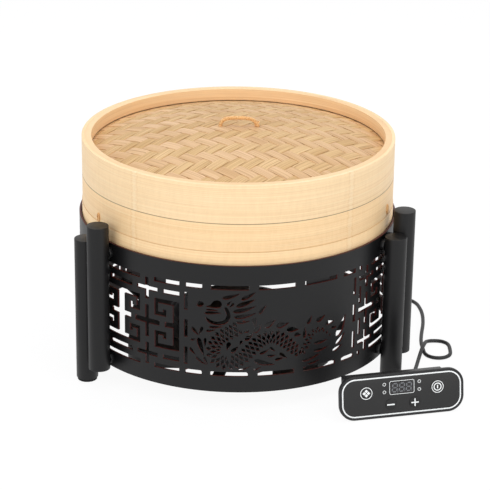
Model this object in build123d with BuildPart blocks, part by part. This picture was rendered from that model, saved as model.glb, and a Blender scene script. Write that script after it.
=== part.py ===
from build123d import *

import math
import os

os.makedirs("parts", exist_ok=True)

# Driving dimensions, in millimetres. The origin is on the drum's axis, on the table.
# Ring housing, a laser-cut drum of sheet steel
ring_d = 327.0
ring_h = 134.0
ring_lift = 18.0
sheet = 2.0
# Posts round the drum, in pairs: one stands on the table, the next is set higher
post_d = 22.0
post_len = 153.5
post_raise = 20.5
post_standoff = 4.5
post_pitch = 7.4
pair_azimuths = (216.5, 336.5, 96.5)
foot_t = 3.0
foot_inset = 1.0
standoff_w = 10.0
standoff_drop = 10.0
standoff_rise = 10.0
# Laser-cut pattern, about the middle of the drum's wall
pattern_drop = 1.6
slot_h = 4.4
border_rise = 46.0
row_rise = 34.8
panel_half_angle = 34.1
panel_azimuths = (284.4, 104.4)
cell_angle = 23.75
cell_margin = 2.95
first_cross = 4.2
# Bamboo basket and lid
bamboo_d = 320.0
hoop_t = 3.5
liner_t = 6.2
glue_gap = 0.05
fit_gap = 0.3
basket_h = 60.5
basket_sink = 18.5
band_step = 0.4
band_h = 31.5
lip_h = 8.0
lid_h = 39.3
rail_w = 14.0
rail_t = 6.5
rail_rise = 2.5
rail_pitch = 88.0
slat_w = 12.0
slat_t = 3.0
slat_pitch = 17.0
mat_t = 3.0
mat_drop = 12.6
mat_rise = 21.0
batten_w = 12.0
batten_t = 5.0
batten_pitch = 90.0
handle_span = 38.0
handle_rise = 9.5
handle_d = 4.0
toggle_w = 8.0
toggle_t = 3.0
# Shelf brackets that carry the basket inside the drum
bracket_w = 26.0
bracket_reach = 20.0
bracket_drop = 14.0
bracket_azimuths = (0.0, 60.0, 120.0, 180.0, 240.0, 300.0)
# Heating unit on its three-armed tray
tray_d = 120.0
arm_w = 12.5
arm_azimuths = (259.0, 19.0, 139.0)
arm_up = 14.0
unit_l = 210.0
unit_w = 150.0
unit_h = 18.0
unit_x = -7.0
unit_corner = 30.0
cover_t = 1.5
unit_wall = 1.5
unit_foot_d = 14.0
unit_foot_inset = 24.0
hotplate_t = 2.0
pan_d = 142.0
pan_floor_d = 124.0
pan_h = 14.0
pan_wall = 1.0
box_l = 46.0
box_w = 50.0
box_end = 37.0
box_lid_t = 2.0
# Glands for the control cord and, bare, for the mains lead
gland_d = 9.0
gland_len = 6.0
gland_flange_d = 13.0
gland_flange_t = 1.5
cord_gland_end = 40.0
mains_gland_end = 72.0
# Wired control panel, leaning back on the table
face_w = 128.0
face_h = 44.4
face_t = 4.0
face_corner = 16.0
face_edge = 1.0
face_turn = 14.4
face_x = 165.2
face_y = -175.7
line_inset = 3.35
line_w = 1.3
film_t = 0.6
box_inset_x = 12.3
box_rise = 5.3
box_top_drop = 7.6
box_depth = 31.0
box_wall = 1.8
key_end = 27.3
key_y = 4.5
key_d = 13.4
small_key_x = 12.4
small_key_mid = 0.8
small_key_y = -9.2
small_key_d = 11.5
key_proud = 0.4
key_clear = 0.3
key_hole_sides = 20
key_travel = 0.5
ear_reach = 1.5
ear_w = 5.0
ear_t = 1.2
window_w = 26.0
window_h = 14.2
window_t = 1.4
window_y = 7.5
module_w = 22.6
module_h = 10.2
lamp_x = 18.0
lamp_y = 7.7
lamp_pitch = 7.9
lamp_d = 3.0
lamp_sides = 8
board_back = 6.0
board_t = 1.6
board_end_clear = 1.9
board_side_clear = 0.95
switch_w = 6.0
boss_d = 6.0
boss_end = 2.0
boss_low_side = 3.65
boss_high_side = 3.05
boss_mid_x = 24.5
clip_end = 25.7
clip_w = 18.0
clip_l = 14.0
clip_t = 0.8
panel_gland_x = 22.0
panel_gland_y = -2.2
# Control cord between the heating unit and the panel
cord_d = 4.0
cord_sides = 8

# Sizes that follow from them
ring_r = ring_d / 2
ring_in = ring_r - sheet
ring_top = ring_lift + ring_h
pattern_z = ring_lift + ring_h / 2 - pattern_drop
post_r = post_d / 2
post_circle = ring_r + post_standoff + post_r
bamboo_r = bamboo_d / 2
hoop_in = bamboo_r - hoop_t
liner_out = hoop_in - glue_gap
liner_in = liner_out - liner_t
basket_z = ring_top - basket_sink
seam_z = basket_z + basket_h
lid_top = seam_z + lid_h
mat_z = lid_top - mat_drop
unit_z = sheet
hotplate_z = unit_z + unit_h
pan_z = hotplate_z + hotplate_t
wall_reach = 12.0
hotplate_d = unit_w
unit_end = unit_x + unit_l / 2
box_x = unit_end - box_end
cord_gland_x = unit_end - cord_gland_end
mains_gland_x = unit_x - unit_l / 2 + mains_gland_end
key_x = face_w / 2 - key_end
box_wide = face_w - 2 * box_inset_x
box_high = face_h - box_rise - box_top_drop
box_mid = (box_rise - box_top_drop) / 2
board_w = box_wide - 2 * (box_wall + board_end_clear)
board_h = box_high - 2 * (box_wall + board_side_clear)
boss_x = board_w / 2 - boss_end
boss_low = box_mid - board_h / 2 + boss_low_side
boss_high = box_mid + board_h / 2 - boss_high_side
boss_places = ((-boss_x, boss_low), (boss_x, boss_low), (-boss_mid_x, boss_high), (boss_mid_x, boss_high))
clip_x = box_wide / 2 - clip_end


def wall_plane(azimuth, radius, height):
    """A plane that touches a drum of this radius: X runs round it, Y up, Z outwards."""
    turn = math.radians(azimuth)
    return Plane(
        origin=(radius * math.cos(turn), radius * math.sin(turn), height),
        x_dir=(-math.sin(turn), math.cos(turn), 0),
        z_dir=(math.cos(turn), math.sin(turn), 0),
    )


def round_run(angle):
    """Distance across a tangent plane of the drum that spans this angle."""
    return ring_r * math.sin(math.radians(angle))


# Lattice openings: a tall middle cross with a flat one above and below it
cross_arm = 14.5
cross_rise = 17.2
small_arm = 12.2
small_rise = 11.4


def cross_opening(x_low):
    """Three crosses one above the other, cut off left of x_low."""
    with BuildSketch() as crosses:
        Rectangle(2 * cross_arm, slot_h)
        Rectangle(slot_h, 2 * cross_rise)
        with Locations((0, row_rise), (0, -row_rise)):
            Rectangle(2 * small_arm, slot_h)
            Rectangle(slot_h, 2 * small_rise)
        with Locations((x_low, 0)):
            Rectangle(4 * cross_arm, 2 * ring_h, align=(Align.MIN, Align.CENTER), mode=Mode.INTERSECT)
    return crosses.sketch


# Fret openings between two crosses: a tall bar with four hooked spirals
fret_reach = round_run(cell_angle / 2 - cell_margin)
fret_rise = 26.3
fret_low = 8.3
fret_hook = 11.9
hook_rise = 7.3
stem_half = 4.7
mid_arm = 13.5
row_half = 15.3


def fret_opening(x_low, x_high):
    """One fret field with its border and row slots, kept from x_low to x_high."""
    with BuildSketch() as fret:
        Rectangle(2 * stem_half, 2 * fret_rise)
        Rectangle(2 * mid_arm, slot_h)
        with Locations((0, fret_rise), (0, -fret_rise + slot_h)):
            Rectangle(2 * fret_reach, slot_h, align=(Align.CENTER, Align.MAX))
        for side in (-1, 1):
            for level in (-1, 1):
                middle = (fret_low + fret_rise) / 2
                with Locations((side * (fret_reach - slot_h / 2), level * middle)):
                    Rectangle(slot_h, fret_rise - fret_low)
                with Locations((side * (fret_hook + fret_reach) / 2, level * (fret_low + slot_h / 2))):
                    Rectangle(fret_reach - fret_hook, slot_h)
                with Locations((side * (fret_hook + slot_h / 2), level * (fret_low + hook_rise / 2))):
                    Rectangle(slot_h, hook_rise)
        with Locations((0, border_rise), (0, -border_rise)):
            Rectangle(2 * fret_reach, slot_h)
        with Locations((0, row_rise), (0, -row_rise)):
            Rectangle(2 * row_half, slot_h)
        with Locations(((x_low + x_high) / 2, 0)):
            Rectangle(x_high - x_low, 2 * ring_h, mode=Mode.INTERSECT)
    return fret.sketch


# Dragon: a winding body, with places given from the middle of its panel, X round the wall
body_line = Spline(
    (-28, 8), (-41, -1), (-56, -9), (-63, -21), (-57, -32), (-44, -35), (-30, -25), (-16, -11),
    (-2, -7), (12, -15), (23, -25), (31, -21), (37, -10), (45, -6), (54, -12), (63, -19),
)
body_half = 7.0
tail_half = 2.2
taper_start = 0.6
scale_pitch = 13.0
spine_h = 7.0
spine_base = 7.5
spine_every = 2
# Each blade of the head, mane, legs, clouds and tail: X, Y, direction, length, root width, sweep
blades = (
    (-70, 31, -25, 17, 6.0, 2.0),
    (-52, 30, 215, 13, 6.0, -2.0),
    (-80, 26, 10, 10, 5.0, 2.5),
    (-72, 11, 14, 22, 4.5, 6.0),
    (-60, 36, 16, 27, 3.0, 5.0),
    (-48, 27, 12, 25, 4.5, 7.0),
    (-46, 18, 16, 25, 4.5, 7.0),
    (-70, -8, -108, 25, 5.0, -6.0),
    (-45, -10, -62, 16, 5.0, 4.0),
    (-16, -24, -12, 19, 5.0, 4.0),
    (24, -34, 6, 20, 4.5, 4.0),
    (66, -20, 55, 25, 7.0, 5.0),
    (66, -27, 20, 14, 5.0, 4.0),
)
end_slot = 28.9
mid_slot = 16.45
end_slot_half = 8.4
mid_slot_half = 18.6
frame_slot_w = 3.7
frame_slot_h = 18.0
frame_slot_pitch = 29.0
frame_slot_edge = 2.4

# Ring housing: the rolled drum with its two lattice fields and two dragon panels
with BuildPart() as ring_housing:
    with BuildSketch(Plane.XY.offset(ring_lift)):
        Circle(ring_r)
        Circle(ring_in, mode=Mode.SUBTRACT)
    extrude(amount=ring_h)
    fret_limit = round_run(cell_angle / 2)
    for panel in panel_azimuths:
        field_start = panel - 180 + panel_half_angle
        field_span = 180 - 2 * panel_half_angle
        cross_count = int((field_span - first_cross) / cell_angle) + 1
        for cell in range(cross_count):
            cross_place = first_cross + cell * cell_angle
            with BuildSketch(wall_plane(field_start + cross_place, ring_r + 1, pattern_z)):
                add(cross_opening(max(-2 * cross_arm, -round_run(cross_place))))
            fret_place = cross_place + cell_angle / 2
            fret_end = min(fret_limit, round_run(field_span - fret_place))
            with BuildSketch(wall_plane(field_start + fret_place, ring_r + 1, pattern_z)):
                add(fret_opening(-fret_limit, fret_end))
        first_fret = first_cross - cell_angle / 2
        with BuildSketch(wall_plane(field_start + first_fret, ring_r + 1, pattern_z)):
            add(fret_opening(round_run(-first_fret), fret_limit))
        # Border slots and the upright slots that frame the dragon
        for place in (-end_slot, -mid_slot, 0, mid_slot, end_slot):
            slot_half = end_slot_half if abs(place) == end_slot else mid_slot_half
            with BuildSketch(wall_plane(panel + place, ring_r + 1, pattern_z)):
                with Locations((0, border_rise), (0, -border_rise)):
                    Rectangle(2 * slot_half, slot_h)
        for side in (-1, 1):
            edge_angle = panel_half_angle - frame_slot_edge
            with BuildSketch(wall_plane(panel + side * edge_angle, ring_r + 1, pattern_z)):
                with GridLocations(0, frame_slot_pitch, 1, 3):
                    Rectangle(frame_slot_w, frame_slot_h)
        # Scales down the middle of the body, and spines on its back
        scale_count = int(body_line.length / scale_pitch)
        for index in range(scale_count):
            along = (index + 0.5) / scale_count
            spot = body_line @ along
            heading = body_line % along
            taper = max(0, (along - taper_start) / (1 - taper_start))
            half = body_half + (tail_half - body_half) * taper
            lean = math.degrees(math.atan2(heading.Y, heading.X))
            body_place = panel + math.degrees(spot.X / ring_r)
            with BuildSketch(wall_plane(body_place, ring_r + 1, pattern_z + spot.Y)):
                Polygon((0.4 * half, half * 0.5), (-0.7 * half, 0), (0.4 * half, -half * 0.5), align=None, rotation=lean)
            if index % spine_every == 0 and spot.Y > body_line.center().Y:
                with BuildSketch(wall_plane(body_place, ring_r + 1, pattern_z + spot.Y)):
                    root = half + 0.2 * spine_h
                    Polygon(
                        (0.5 * spine_base, root), (-0.9 * spine_base, root + spine_h), (-0.4 * spine_base, root),
                        align=None, rotation=lean,
                    )
        for x, y, turn, length, width, sweep_y in blades:
            place = panel + math.degrees(x / ring_r)
            with BuildSketch(wall_plane(place, ring_r + 1, pattern_z + y)):
                Polygon((0, -width / 2), (length, sweep_y), (0, width / 2), align=None, rotation=turn)
    extrude(amount=-wall_reach, mode=Mode.SUBTRACT)
ring_housing.part.label = "ring_housing"
export_step(ring_housing.part, "parts/ring_housing.step")
print("ring solids", len(ring_housing.part.solids()), "volume", round(ring_housing.part.volume))

# Posts: three pairs of round bars outside the drum
pair_names = ("left", "right", "rear")
for pair_name, pair in zip(pair_names, pair_azimuths):
    for kind, side in (("floor", -1), ("raised", 1)):
        turn = math.radians(pair + side * post_pitch / 2)
        low = foot_t if kind == "floor" else post_raise
        high = post_len if kind == "floor" else post_raise + post_len
        with BuildPart() as post:
            with BuildSketch(Plane.XY.offset(low)):
                with Locations((post_circle * math.cos(turn), post_circle * math.sin(turn))):
                    Circle(post_r)
            extrude(amount=high - low)
        post.part.label = pair_name + "_" + kind + "_post"
        export_step(post.part, "parts/" + post.part.label + ".step")

# Rubber feet under the posts that stand on the table
with BuildPart() as post_feet:
    with BuildSketch():
        for pair in pair_azimuths:
            with PolarLocations(post_circle, 1, start_angle=pair - post_pitch / 2):
                RegularPolygon(post_r - foot_inset, 16)
    extrude(amount=foot_t)
post_feet.part.label = "post_feet"
export_step(post_feet.part, "parts/post_feet.step")

# Hexagonal stand-offs welded between the drum and the posts
with BuildPart() as post_standoffs:
    for pair in pair_azimuths:
        for side in (-1, 1):
            for height in (ring_top - standoff_drop, ring_lift + standoff_rise):
                with BuildSketch(wall_plane(pair + side * post_pitch / 2, ring_r, height)):
                    RegularPolygon(standoff_w / 2, 6, major_radius=False)
    extrude(amount=post_standoff)
post_standoffs.part.label = "post_standoffs"
export_step(post_standoffs.part, "parts/post_standoffs.step")

# Shelf brackets: bent tabs inside the drum that the basket stands on
bracket_r = math.sqrt(ring_in**2 - (bracket_w / 2) ** 2) - glue_gap
with BuildPart() as shelf_brackets:
    for azimuth in bracket_azimuths:
        with BuildSketch(wall_plane(azimuth, bracket_r, 0)):
            with Locations((0, basket_z - bracket_drop / 2)):
                Rectangle(bracket_w, bracket_drop)
    extrude(amount=-sheet)
    for azimuth in bracket_azimuths:
        with BuildSketch(wall_plane(azimuth, bracket_r, 0)):
            with Locations((0, basket_z - sheet / 2)):
                Rectangle(bracket_w, sheet)
    extrude(amount=-bracket_reach)
shelf_brackets.part.label = "shelf_brackets"
export_step(shelf_brackets.part, "parts/shelf_brackets.step")

# Tray: a flat disc on the table with three arms that turn up inside the drum
arm_r = math.sqrt(ring_in**2 - (arm_w / 2) ** 2) - glue_gap
with BuildPart() as spider_tray:
    with BuildSketch():
        Circle(tray_d / 2)
        for azimuth in arm_azimuths:
            with PolarLocations(arm_r / 2, 1, start_angle=azimuth):
                Rectangle(arm_r, arm_w)
    extrude(amount=sheet)
    for azimuth in arm_azimuths:
        with BuildSketch(wall_plane(azimuth, arm_r, 0)):
            with Locations((0, (ring_lift + arm_up) / 2)):
                Rectangle(arm_w, ring_lift + arm_up)
    extrude(amount=-sheet)
spider_tray.part.label = "spider_tray"
export_step(spider_tray.part, "parts/spider_tray.step")

# Heating unit: a pressed steel body on the tray, a cover, a hot plate and rubber feet
with BuildPart() as unit_base:
    with BuildSketch(Plane.XY.offset(unit_z)):
        with Locations((unit_x, 0)):
            RectangleRounded(unit_l, unit_w, unit_corner)
    extrude(amount=unit_h - cover_t)
    with BuildSketch(Plane.XY.offset(unit_z + unit_wall)):
        with Locations((unit_x, 0)):
            RectangleRounded(unit_l - 2 * unit_wall, unit_w - 2 * unit_wall, unit_corner - unit_wall)
    extrude(amount=unit_h, mode=Mode.SUBTRACT)
unit_base.part.label = "unit_base"
export_step(unit_base.part, "parts/unit_base.step")

with BuildPart() as unit_cover:
    with BuildSketch(Plane.XY.offset(hotplate_z - cover_t)):
        with Locations((unit_x, 0)):
            RectangleRounded(unit_l, unit_w, unit_corner)
    extrude(amount=cover_t)
unit_cover.part.label = "unit_cover"
export_step(unit_cover.part, "parts/unit_cover.step")

with BuildPart() as hot_plate:
    with BuildSketch(Plane.XY.offset(hotplate_z)):
        Circle(hotplate_d / 2)
    extrude(amount=hotplate_t)
hot_plate.part.label = "hot_plate"
export_step(hot_plate.part, "parts/hot_plate.step")

with BuildPart() as unit_feet:
    with BuildSketch():
        with Locations((unit_x, 0)):
            with GridLocations(unit_l - 2 * unit_foot_inset, unit_w - 2 * unit_foot_inset, 2, 2):
                RegularPolygon(unit_foot_d / 2, 12)
    extrude(amount=unit_z)
unit_feet.part.label = "unit_feet"
export_step(unit_feet.part, "parts/unit_feet.step")

# Water pan: a thin shallow bowl with a flared wall and a flat rim
pan_r = pan_d / 2
pan_floor_r = pan_floor_d / 2
pan_lip = 4.0
with BuildPart() as water_pan:
    with BuildSketch(Plane.XZ):
        Polygon(
            (0, pan_z),
            (pan_floor_r, pan_z),
            (pan_r - pan_lip, pan_z + pan_h - pan_wall),
            (pan_r, pan_z + pan_h - pan_wall),
            (pan_r, pan_z + pan_h),
            (pan_r - pan_lip - pan_wall, pan_z + pan_h),
            (pan_floor_r - pan_wall, pan_z + pan_wall),
            (0, pan_z + pan_wall),
            align=None,
        )
    revolve(axis=Axis.Z)
water_pan.part.label = "water_pan"
export_step(water_pan.part, "parts/water_pan.step")

# Power box in front of the heating unit, with its lid
box_y = -unit_w / 2
with BuildPart() as power_box:
    with BuildSketch(Plane.XY.offset(unit_z)):
        with Locations((box_x, box_y)):
            Rectangle(box_l, box_w, align=(Align.CENTER, Align.MAX))
    extrude(amount=unit_h - box_lid_t)
    fillet(power_box.edges().filter_by(Axis.Z).group_by(Axis.Y)[0], radius=4)
power_box.part.label = "power_box"
export_step(power_box.part, "parts/power_box.step")

with BuildPart() as power_box_lid:
    with BuildSketch(Plane.XY.offset(hotplate_z - box_lid_t)):
        with Locations((box_x, box_y)):
            Rectangle(box_l, box_w, align=(Align.CENTER, Align.MAX))
    extrude(amount=box_lid_t)
    fillet(power_box_lid.edges().filter_by(Axis.Z).group_by(Axis.Y)[0], radius=4)
power_box_lid.part.label = "power_box_lid"
export_step(power_box_lid.part, "parts/power_box_lid.step")

# Glands in the unit's rear wall
gland_z = unit_z + (unit_h - cover_t) / 2
unit_rear = Plane(origin=(0, unit_w / 2, gland_z), x_dir=(-1, 0, 0), z_dir=(0, 1, 0))
for gland_name, gland_x in (("cord_gland", cord_gland_x), ("mains_gland", mains_gland_x)):
    with BuildPart() as gland:
        with BuildSketch(unit_rear):
            with Locations((-gland_x, 0)):
                RegularPolygon(gland_flange_d / 2, 12)
        extrude(amount=gland_flange_t)
        with BuildSketch(unit_rear):
            with Locations((-gland_x, 0)):
                RegularPolygon(gland_d / 2, 12)
        extrude(amount=gland_len)
    gland.part.label = gland_name
    export_step(gland.part, "parts/" + gland_name + ".step")

# Basket: an outer hoop, a lower band, an inner liner that stands up into the lid, rails and slats
band_top = basket_z + band_h
with BuildPart() as basket_hoop:
    with BuildSketch(Plane.XY.offset(band_top)):
        Circle(bamboo_r)
        Circle(hoop_in, mode=Mode.SUBTRACT)
    extrude(amount=seam_z - band_top)
basket_hoop.part.label = "basket_hoop"
export_step(basket_hoop.part, "parts/basket_hoop.step")

with BuildPart() as basket_band:
    with BuildSketch(Plane.XY.offset(basket_z)):
        Circle(bamboo_r + band_step)
        Circle(hoop_in, mode=Mode.SUBTRACT)
    extrude(amount=band_h)
basket_band.part.label = "basket_band"
export_step(basket_band.part, "parts/basket_band.step")

with BuildPart() as basket_liner:
    with BuildSketch(Plane.XY.offset(basket_z)):
        Circle(liner_out - fit_gap)
        Circle(liner_in, mode=Mode.SUBTRACT)
    extrude(amount=basket_h + lip_h)
basket_liner.part.label = "basket_liner"
export_step(basket_liner.part, "parts/basket_liner.step")

rail_z = basket_z + rail_rise
with BuildPart() as basket_rails:
    with BuildSketch(Plane.XY.offset(rail_z)):
        rail_far = rail_pitch / 2 + rail_w / 2
        with GridLocations(0, rail_pitch, 1, 2):
            Rectangle(2 * math.sqrt((liner_in - glue_gap) ** 2 - rail_far**2), rail_w)
    extrude(amount=rail_t)
basket_rails.part.label = "basket_rails"
export_step(basket_rails.part, "parts/basket_rails.step")

slat_z = rail_z + rail_t
slat_side = int((liner_in - slat_w) / slat_pitch)
with BuildPart() as basket_slats:
    with BuildSketch(Plane.XY.offset(slat_z)):
        for index in range(-slat_side, slat_side + 1):
            slat_far = abs(index) * slat_pitch + slat_w / 2
            with Locations((index * slat_pitch, 0)):
                Rectangle(slat_w, 2 * math.sqrt((liner_in - glue_gap) ** 2 - slat_far**2))
    extrude(amount=slat_t)
basket_slats.part.label = "basket_slats"
export_step(basket_slats.part, "parts/basket_slats.step")

# Lid: an outer hoop, an inner liner, a domed mat held between them, battens and a handle
with BuildPart() as lid_hoop:
    with BuildSketch(Plane.XY.offset(seam_z)):
        Circle(bamboo_r)
        Circle(hoop_in, mode=Mode.SUBTRACT)
    extrude(amount=lid_h)
lid_hoop.part.label = "lid_hoop"
export_step(lid_hoop.part, "parts/lid_hoop.step")

with BuildPart() as lid_liner:
    with BuildSketch(Plane.XY.offset(mat_z)):
        Circle(liner_out)
        Circle(liner_in, mode=Mode.SUBTRACT)
    extrude(amount=mat_drop)
lid_liner.part.label = "lid_liner"
export_step(lid_liner.part, "parts/lid_liner.step")

leg_hole = handle_d / 2 + fit_gap
with BuildPart() as lid_mat:
    with BuildSketch(Plane.XZ):
        Polygon(
            (0, mat_z + mat_rise),
            (0.5 * liner_in, mat_z + 0.75 * mat_rise),
            (liner_in, mat_z),
            (liner_out, mat_z),
            (liner_out, mat_z - mat_t),
            (liner_in, mat_z - mat_t),
            (0.5 * liner_in, mat_z + 0.75 * mat_rise - mat_t),
            (0, mat_z + mat_rise - mat_t),
            align=None,
        )
    revolve(axis=Axis.Z)
    with BuildSketch(Plane.XY.offset(mat_z)):
        with GridLocations(handle_span, 0, 2, 1):
            RegularPolygon(leg_hole, 8, major_radius=False)
    extrude(amount=2 * mat_rise, mode=Mode.SUBTRACT)
lid_mat.part.label = "lid_mat"
export_step(lid_mat.part, "parts/lid_mat.step")

with BuildPart() as lid_battens:
    with BuildSketch(Plane.XY.offset(mat_z - mat_t - batten_t)):
        batten_far = batten_pitch / 2 + batten_w / 2
        with GridLocations(0, batten_pitch, 1, 2):
            Rectangle(2 * math.sqrt((liner_out - glue_gap) ** 2 - batten_far**2), batten_w)
    extrude(amount=batten_t)
lid_battens.part.label = "lid_battens"
export_step(lid_battens.part, "parts/lid_battens.step")

# Handle: a bent rattan ring through the mat, held below by two toggles
crown_z = mat_z + mat_rise
leg_low = crown_z - mat_t - 1.6 - toggle_t
handle_corner = handle_rise / 2
with BuildPart() as lid_handle:
    with BuildLine() as handle_line:
        FilletPolyline(
            (-handle_span / 2, 0, leg_low),
            (-handle_span / 2, 0, crown_z + 0.35 * handle_rise),
            (-handle_span / 4, 0, crown_z + handle_rise - handle_d / 2),
            (handle_span / 4, 0, crown_z + handle_rise - handle_d / 2),
            (handle_span / 2, 0, crown_z + 0.35 * handle_rise),
            (handle_span / 2, 0, leg_low),
            radius=handle_corner,
        )
    with BuildSketch(Plane(origin=handle_line.line @ 0, z_dir=handle_line.line % 0)):
        RegularPolygon(handle_d / 2, 8)
    sweep()
    with BuildSketch(Plane.XY.offset(leg_low)):
        with GridLocations(handle_span, 0, 2, 1):
            RegularPolygon(toggle_w / 2, 6)
    extrude(amount=toggle_t)
lid_handle.part.label = "lid_handle"
export_step(lid_handle.part, "parts/lid_handle.step")

# Control panel: its front face is a plane that leans back by the drop of its rear box
lean = math.atan2(box_rise, box_depth)
swing = math.radians(face_turn)
face_up = Vector(-math.sin(lean) * math.sin(swing), math.sin(lean) * math.cos(swing), math.cos(lean))
face_out = Vector(math.sin(swing) * math.cos(lean), -math.cos(swing) * math.cos(lean), math.sin(lean))
face_mid = Vector(face_x, face_y, face_t * math.sin(lean)) + face_up * (face_h / 2)


def face_plane(depth):
    """A plane this far behind the panel's front face, with its origin at the face's middle."""
    return Plane(
        origin=face_mid - face_out * depth,
        x_dir=(math.cos(swing), math.sin(swing), 0),
        z_dir=face_out,
    )


minus_x = small_key_mid - small_key_x
plus_x = small_key_mid + small_key_x
keys = (
    ("menu_key", -key_x, key_y, key_d),
    ("power_key", key_x, key_y, key_d),
    ("minus_key", minus_x, small_key_y, small_key_d),
    ("plus_key", plus_x, small_key_y, small_key_d),
)
line_out = 2 * (line_inset - line_w / 2)
line_in = 2 * (line_inset + line_w / 2)

with BuildPart() as panel_bezel:
    with BuildSketch(face_plane(face_t)):
        RectangleRounded(face_w, face_h, face_corner)
    extrude(amount=face_t)
    chamfer(panel_bezel.faces().sort_by(Axis((0, 0, 0), tuple(face_out)))[-1].edges(), length=face_edge)
    with BuildSketch(face_plane(0)):
        RectangleRounded(face_w - line_out, face_h - line_out, face_corner - line_out / 2)
    extrude(amount=-film_t, mode=Mode.SUBTRACT)
    with BuildSketch(face_plane(face_t)):
        with Locations(*boss_places):
            RegularPolygon(boss_d / 2, 8)
    extrude(amount=-board_back)
    with BuildSketch(face_plane(0)):
        for name, x, y, across in keys:
            with Locations((x, y)):
                RegularPolygon(across / 2 + key_clear, key_hole_sides, major_radius=False)
        with Locations((0, window_y)):
            Rectangle(module_w + 2 * fit_gap, module_h + 2 * fit_gap)
        for side in (-1, 1):
            with Locations((side * lamp_x, lamp_y)):
                with GridLocations(0, lamp_pitch, 1, 2):
                    RegularPolygon(lamp_d / 2 + glue_gap, lamp_sides)
    extrude(amount=-face_t, mode=Mode.SUBTRACT)
    with BuildSketch(face_plane(0)):
        with Locations((0, window_y)):
            Rectangle(window_w + 2 * glue_gap, window_h + 2 * glue_gap)
    extrude(amount=-window_t, mode=Mode.SUBTRACT)
panel_bezel.part.label = "panel_bezel"
export_step(panel_bezel.part, "parts/panel_bezel.step")

with BuildPart() as panel_line:
    with BuildSketch(face_plane(film_t)):
        RectangleRounded(face_w - line_out, face_h - line_out, face_corner - line_out / 2)
        RectangleRounded(face_w - line_in, face_h - line_in, face_corner - line_in / 2, mode=Mode.SUBTRACT)
    extrude(amount=film_t)
panel_line.part.label = "panel_line"
export_step(panel_line.part, "parts/panel_line.step")

with BuildPart() as panel_film:
    with BuildSketch(face_plane(film_t)):
        RectangleRounded(face_w - line_in, face_h - line_in, face_corner - line_in / 2)
        for name, x, y, across in keys:
            with Locations((x, y)):
                RegularPolygon(across / 2 + key_clear, key_hole_sides, major_radius=False, mode=Mode.SUBTRACT)
        with Locations((0, window_y)):
            Rectangle(window_w + 2 * glue_gap, window_h + 2 * glue_gap, mode=Mode.SUBTRACT)
        for side in (-1, 1):
            with Locations((side * lamp_x, lamp_y)):
                with GridLocations(0, lamp_pitch, 1, 2):
                    RegularPolygon(lamp_d / 2 + glue_gap, lamp_sides, mode=Mode.SUBTRACT)
    extrude(amount=film_t)
panel_film.part.label = "panel_film"
export_step(panel_film.part, "parts/panel_film.step")

# Keys: each a button with two ears behind the bezel
for key_name, x, y, across in keys:
    with BuildPart() as key:
        with BuildSketch(face_plane(face_t)):
            with Locations((x, y)):
                Circle(across / 2)
        extrude(amount=face_t + key_proud)
        with BuildSketch(face_plane(face_t)):
            with Locations((x, y)):
                Rectangle(across + 2 * ear_reach, ear_w)
        extrude(amount=-ear_t)
    key.part.label = key_name
    export_step(key.part, "parts/" + key_name + ".step")

with BuildPart() as display_window:
    with BuildSketch(face_plane(window_t)):
        with Locations((0, window_y)):
            Rectangle(window_w, window_h)
    extrude(amount=window_t)
display_window.part.label = "display_window"
export_step(display_window.part, "parts/display_window.step")

board_front = face_t + board_back
with BuildPart() as display_module:
    with BuildSketch(face_plane(board_front)):
        with Locations((0, window_y)):
            Rectangle(module_w, module_h)
    extrude(amount=board_front - window_t - glue_gap)
display_module.part.label = "display_module"
export_step(display_module.part, "parts/display_module.step")

with BuildPart() as indicator_lamps:
    with BuildSketch(face_plane(face_t)):
        for side in (-1, 1):
            with Locations((side * lamp_x, lamp_y)):
                with GridLocations(0, lamp_pitch, 1, 2):
                    RegularPolygon(lamp_d / 2, lamp_sides)
    extrude(amount=face_t)
indicator_lamps.part.label = "indicator_lamps"
export_step(indicator_lamps.part, "parts/indicator_lamps.step")

# Circuit board on the bezel's bosses, with a switch behind each key
with BuildPart() as circuit_board:
    with BuildSketch(face_plane(board_front + board_t)):
        with Locations((0, box_mid)):
            Rectangle(board_w, board_h)
    extrude(amount=board_t)
circuit_board.part.label = "circuit_board"
export_step(circuit_board.part, "parts/circuit_board.step")

switch_h = board_back - ear_t - key_travel - 0.1
with BuildPart() as key_switches:
    with BuildSketch(face_plane(board_front)):
        for name, x, y, across in keys:
            with Locations((x, y)):
                Rectangle(switch_w, switch_w)
    extrude(amount=switch_h)
key_switches.part.label = "key_switches"
export_step(key_switches.part, "parts/key_switches.step")

# Rear box of the panel, open to the front, with two spring clips on top
with BuildPart() as panel_box:
    with BuildSketch(face_plane(face_t)):
        with Locations((0, box_mid)):
            Rectangle(box_wide, box_high)
    extrude(amount=-box_depth)
    with BuildSketch(face_plane(face_t)):
        with Locations((0, box_mid)):
            Rectangle(box_wide - 2 * box_wall, box_high - 2 * box_wall)
    extrude(amount=-(box_depth - box_wall), mode=Mode.SUBTRACT)
panel_box.part.label = "panel_box"
export_step(panel_box.part, "parts/panel_box.step")

clip_y = box_mid + box_high / 2
with BuildPart() as panel_clips:
    with BuildSketch(face_plane(face_t)):
        with Locations((0, clip_y + clip_t / 2)):
            with GridLocations(2 * clip_x, 0, 2, 1):
                Rectangle(clip_w, clip_t)
    extrude(amount=-clip_l)
    with BuildSketch(face_plane(face_t)):
        with Locations((0, clip_y + 1.5 * clip_t)):
            with GridLocations(2 * clip_x, 0, 2, 1):
                Rectangle(clip_w, 3 * clip_t)
    extrude(amount=-clip_t)
panel_clips.part.label = "panel_clips"
export_step(panel_clips.part, "parts/panel_clips.step")

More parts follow.
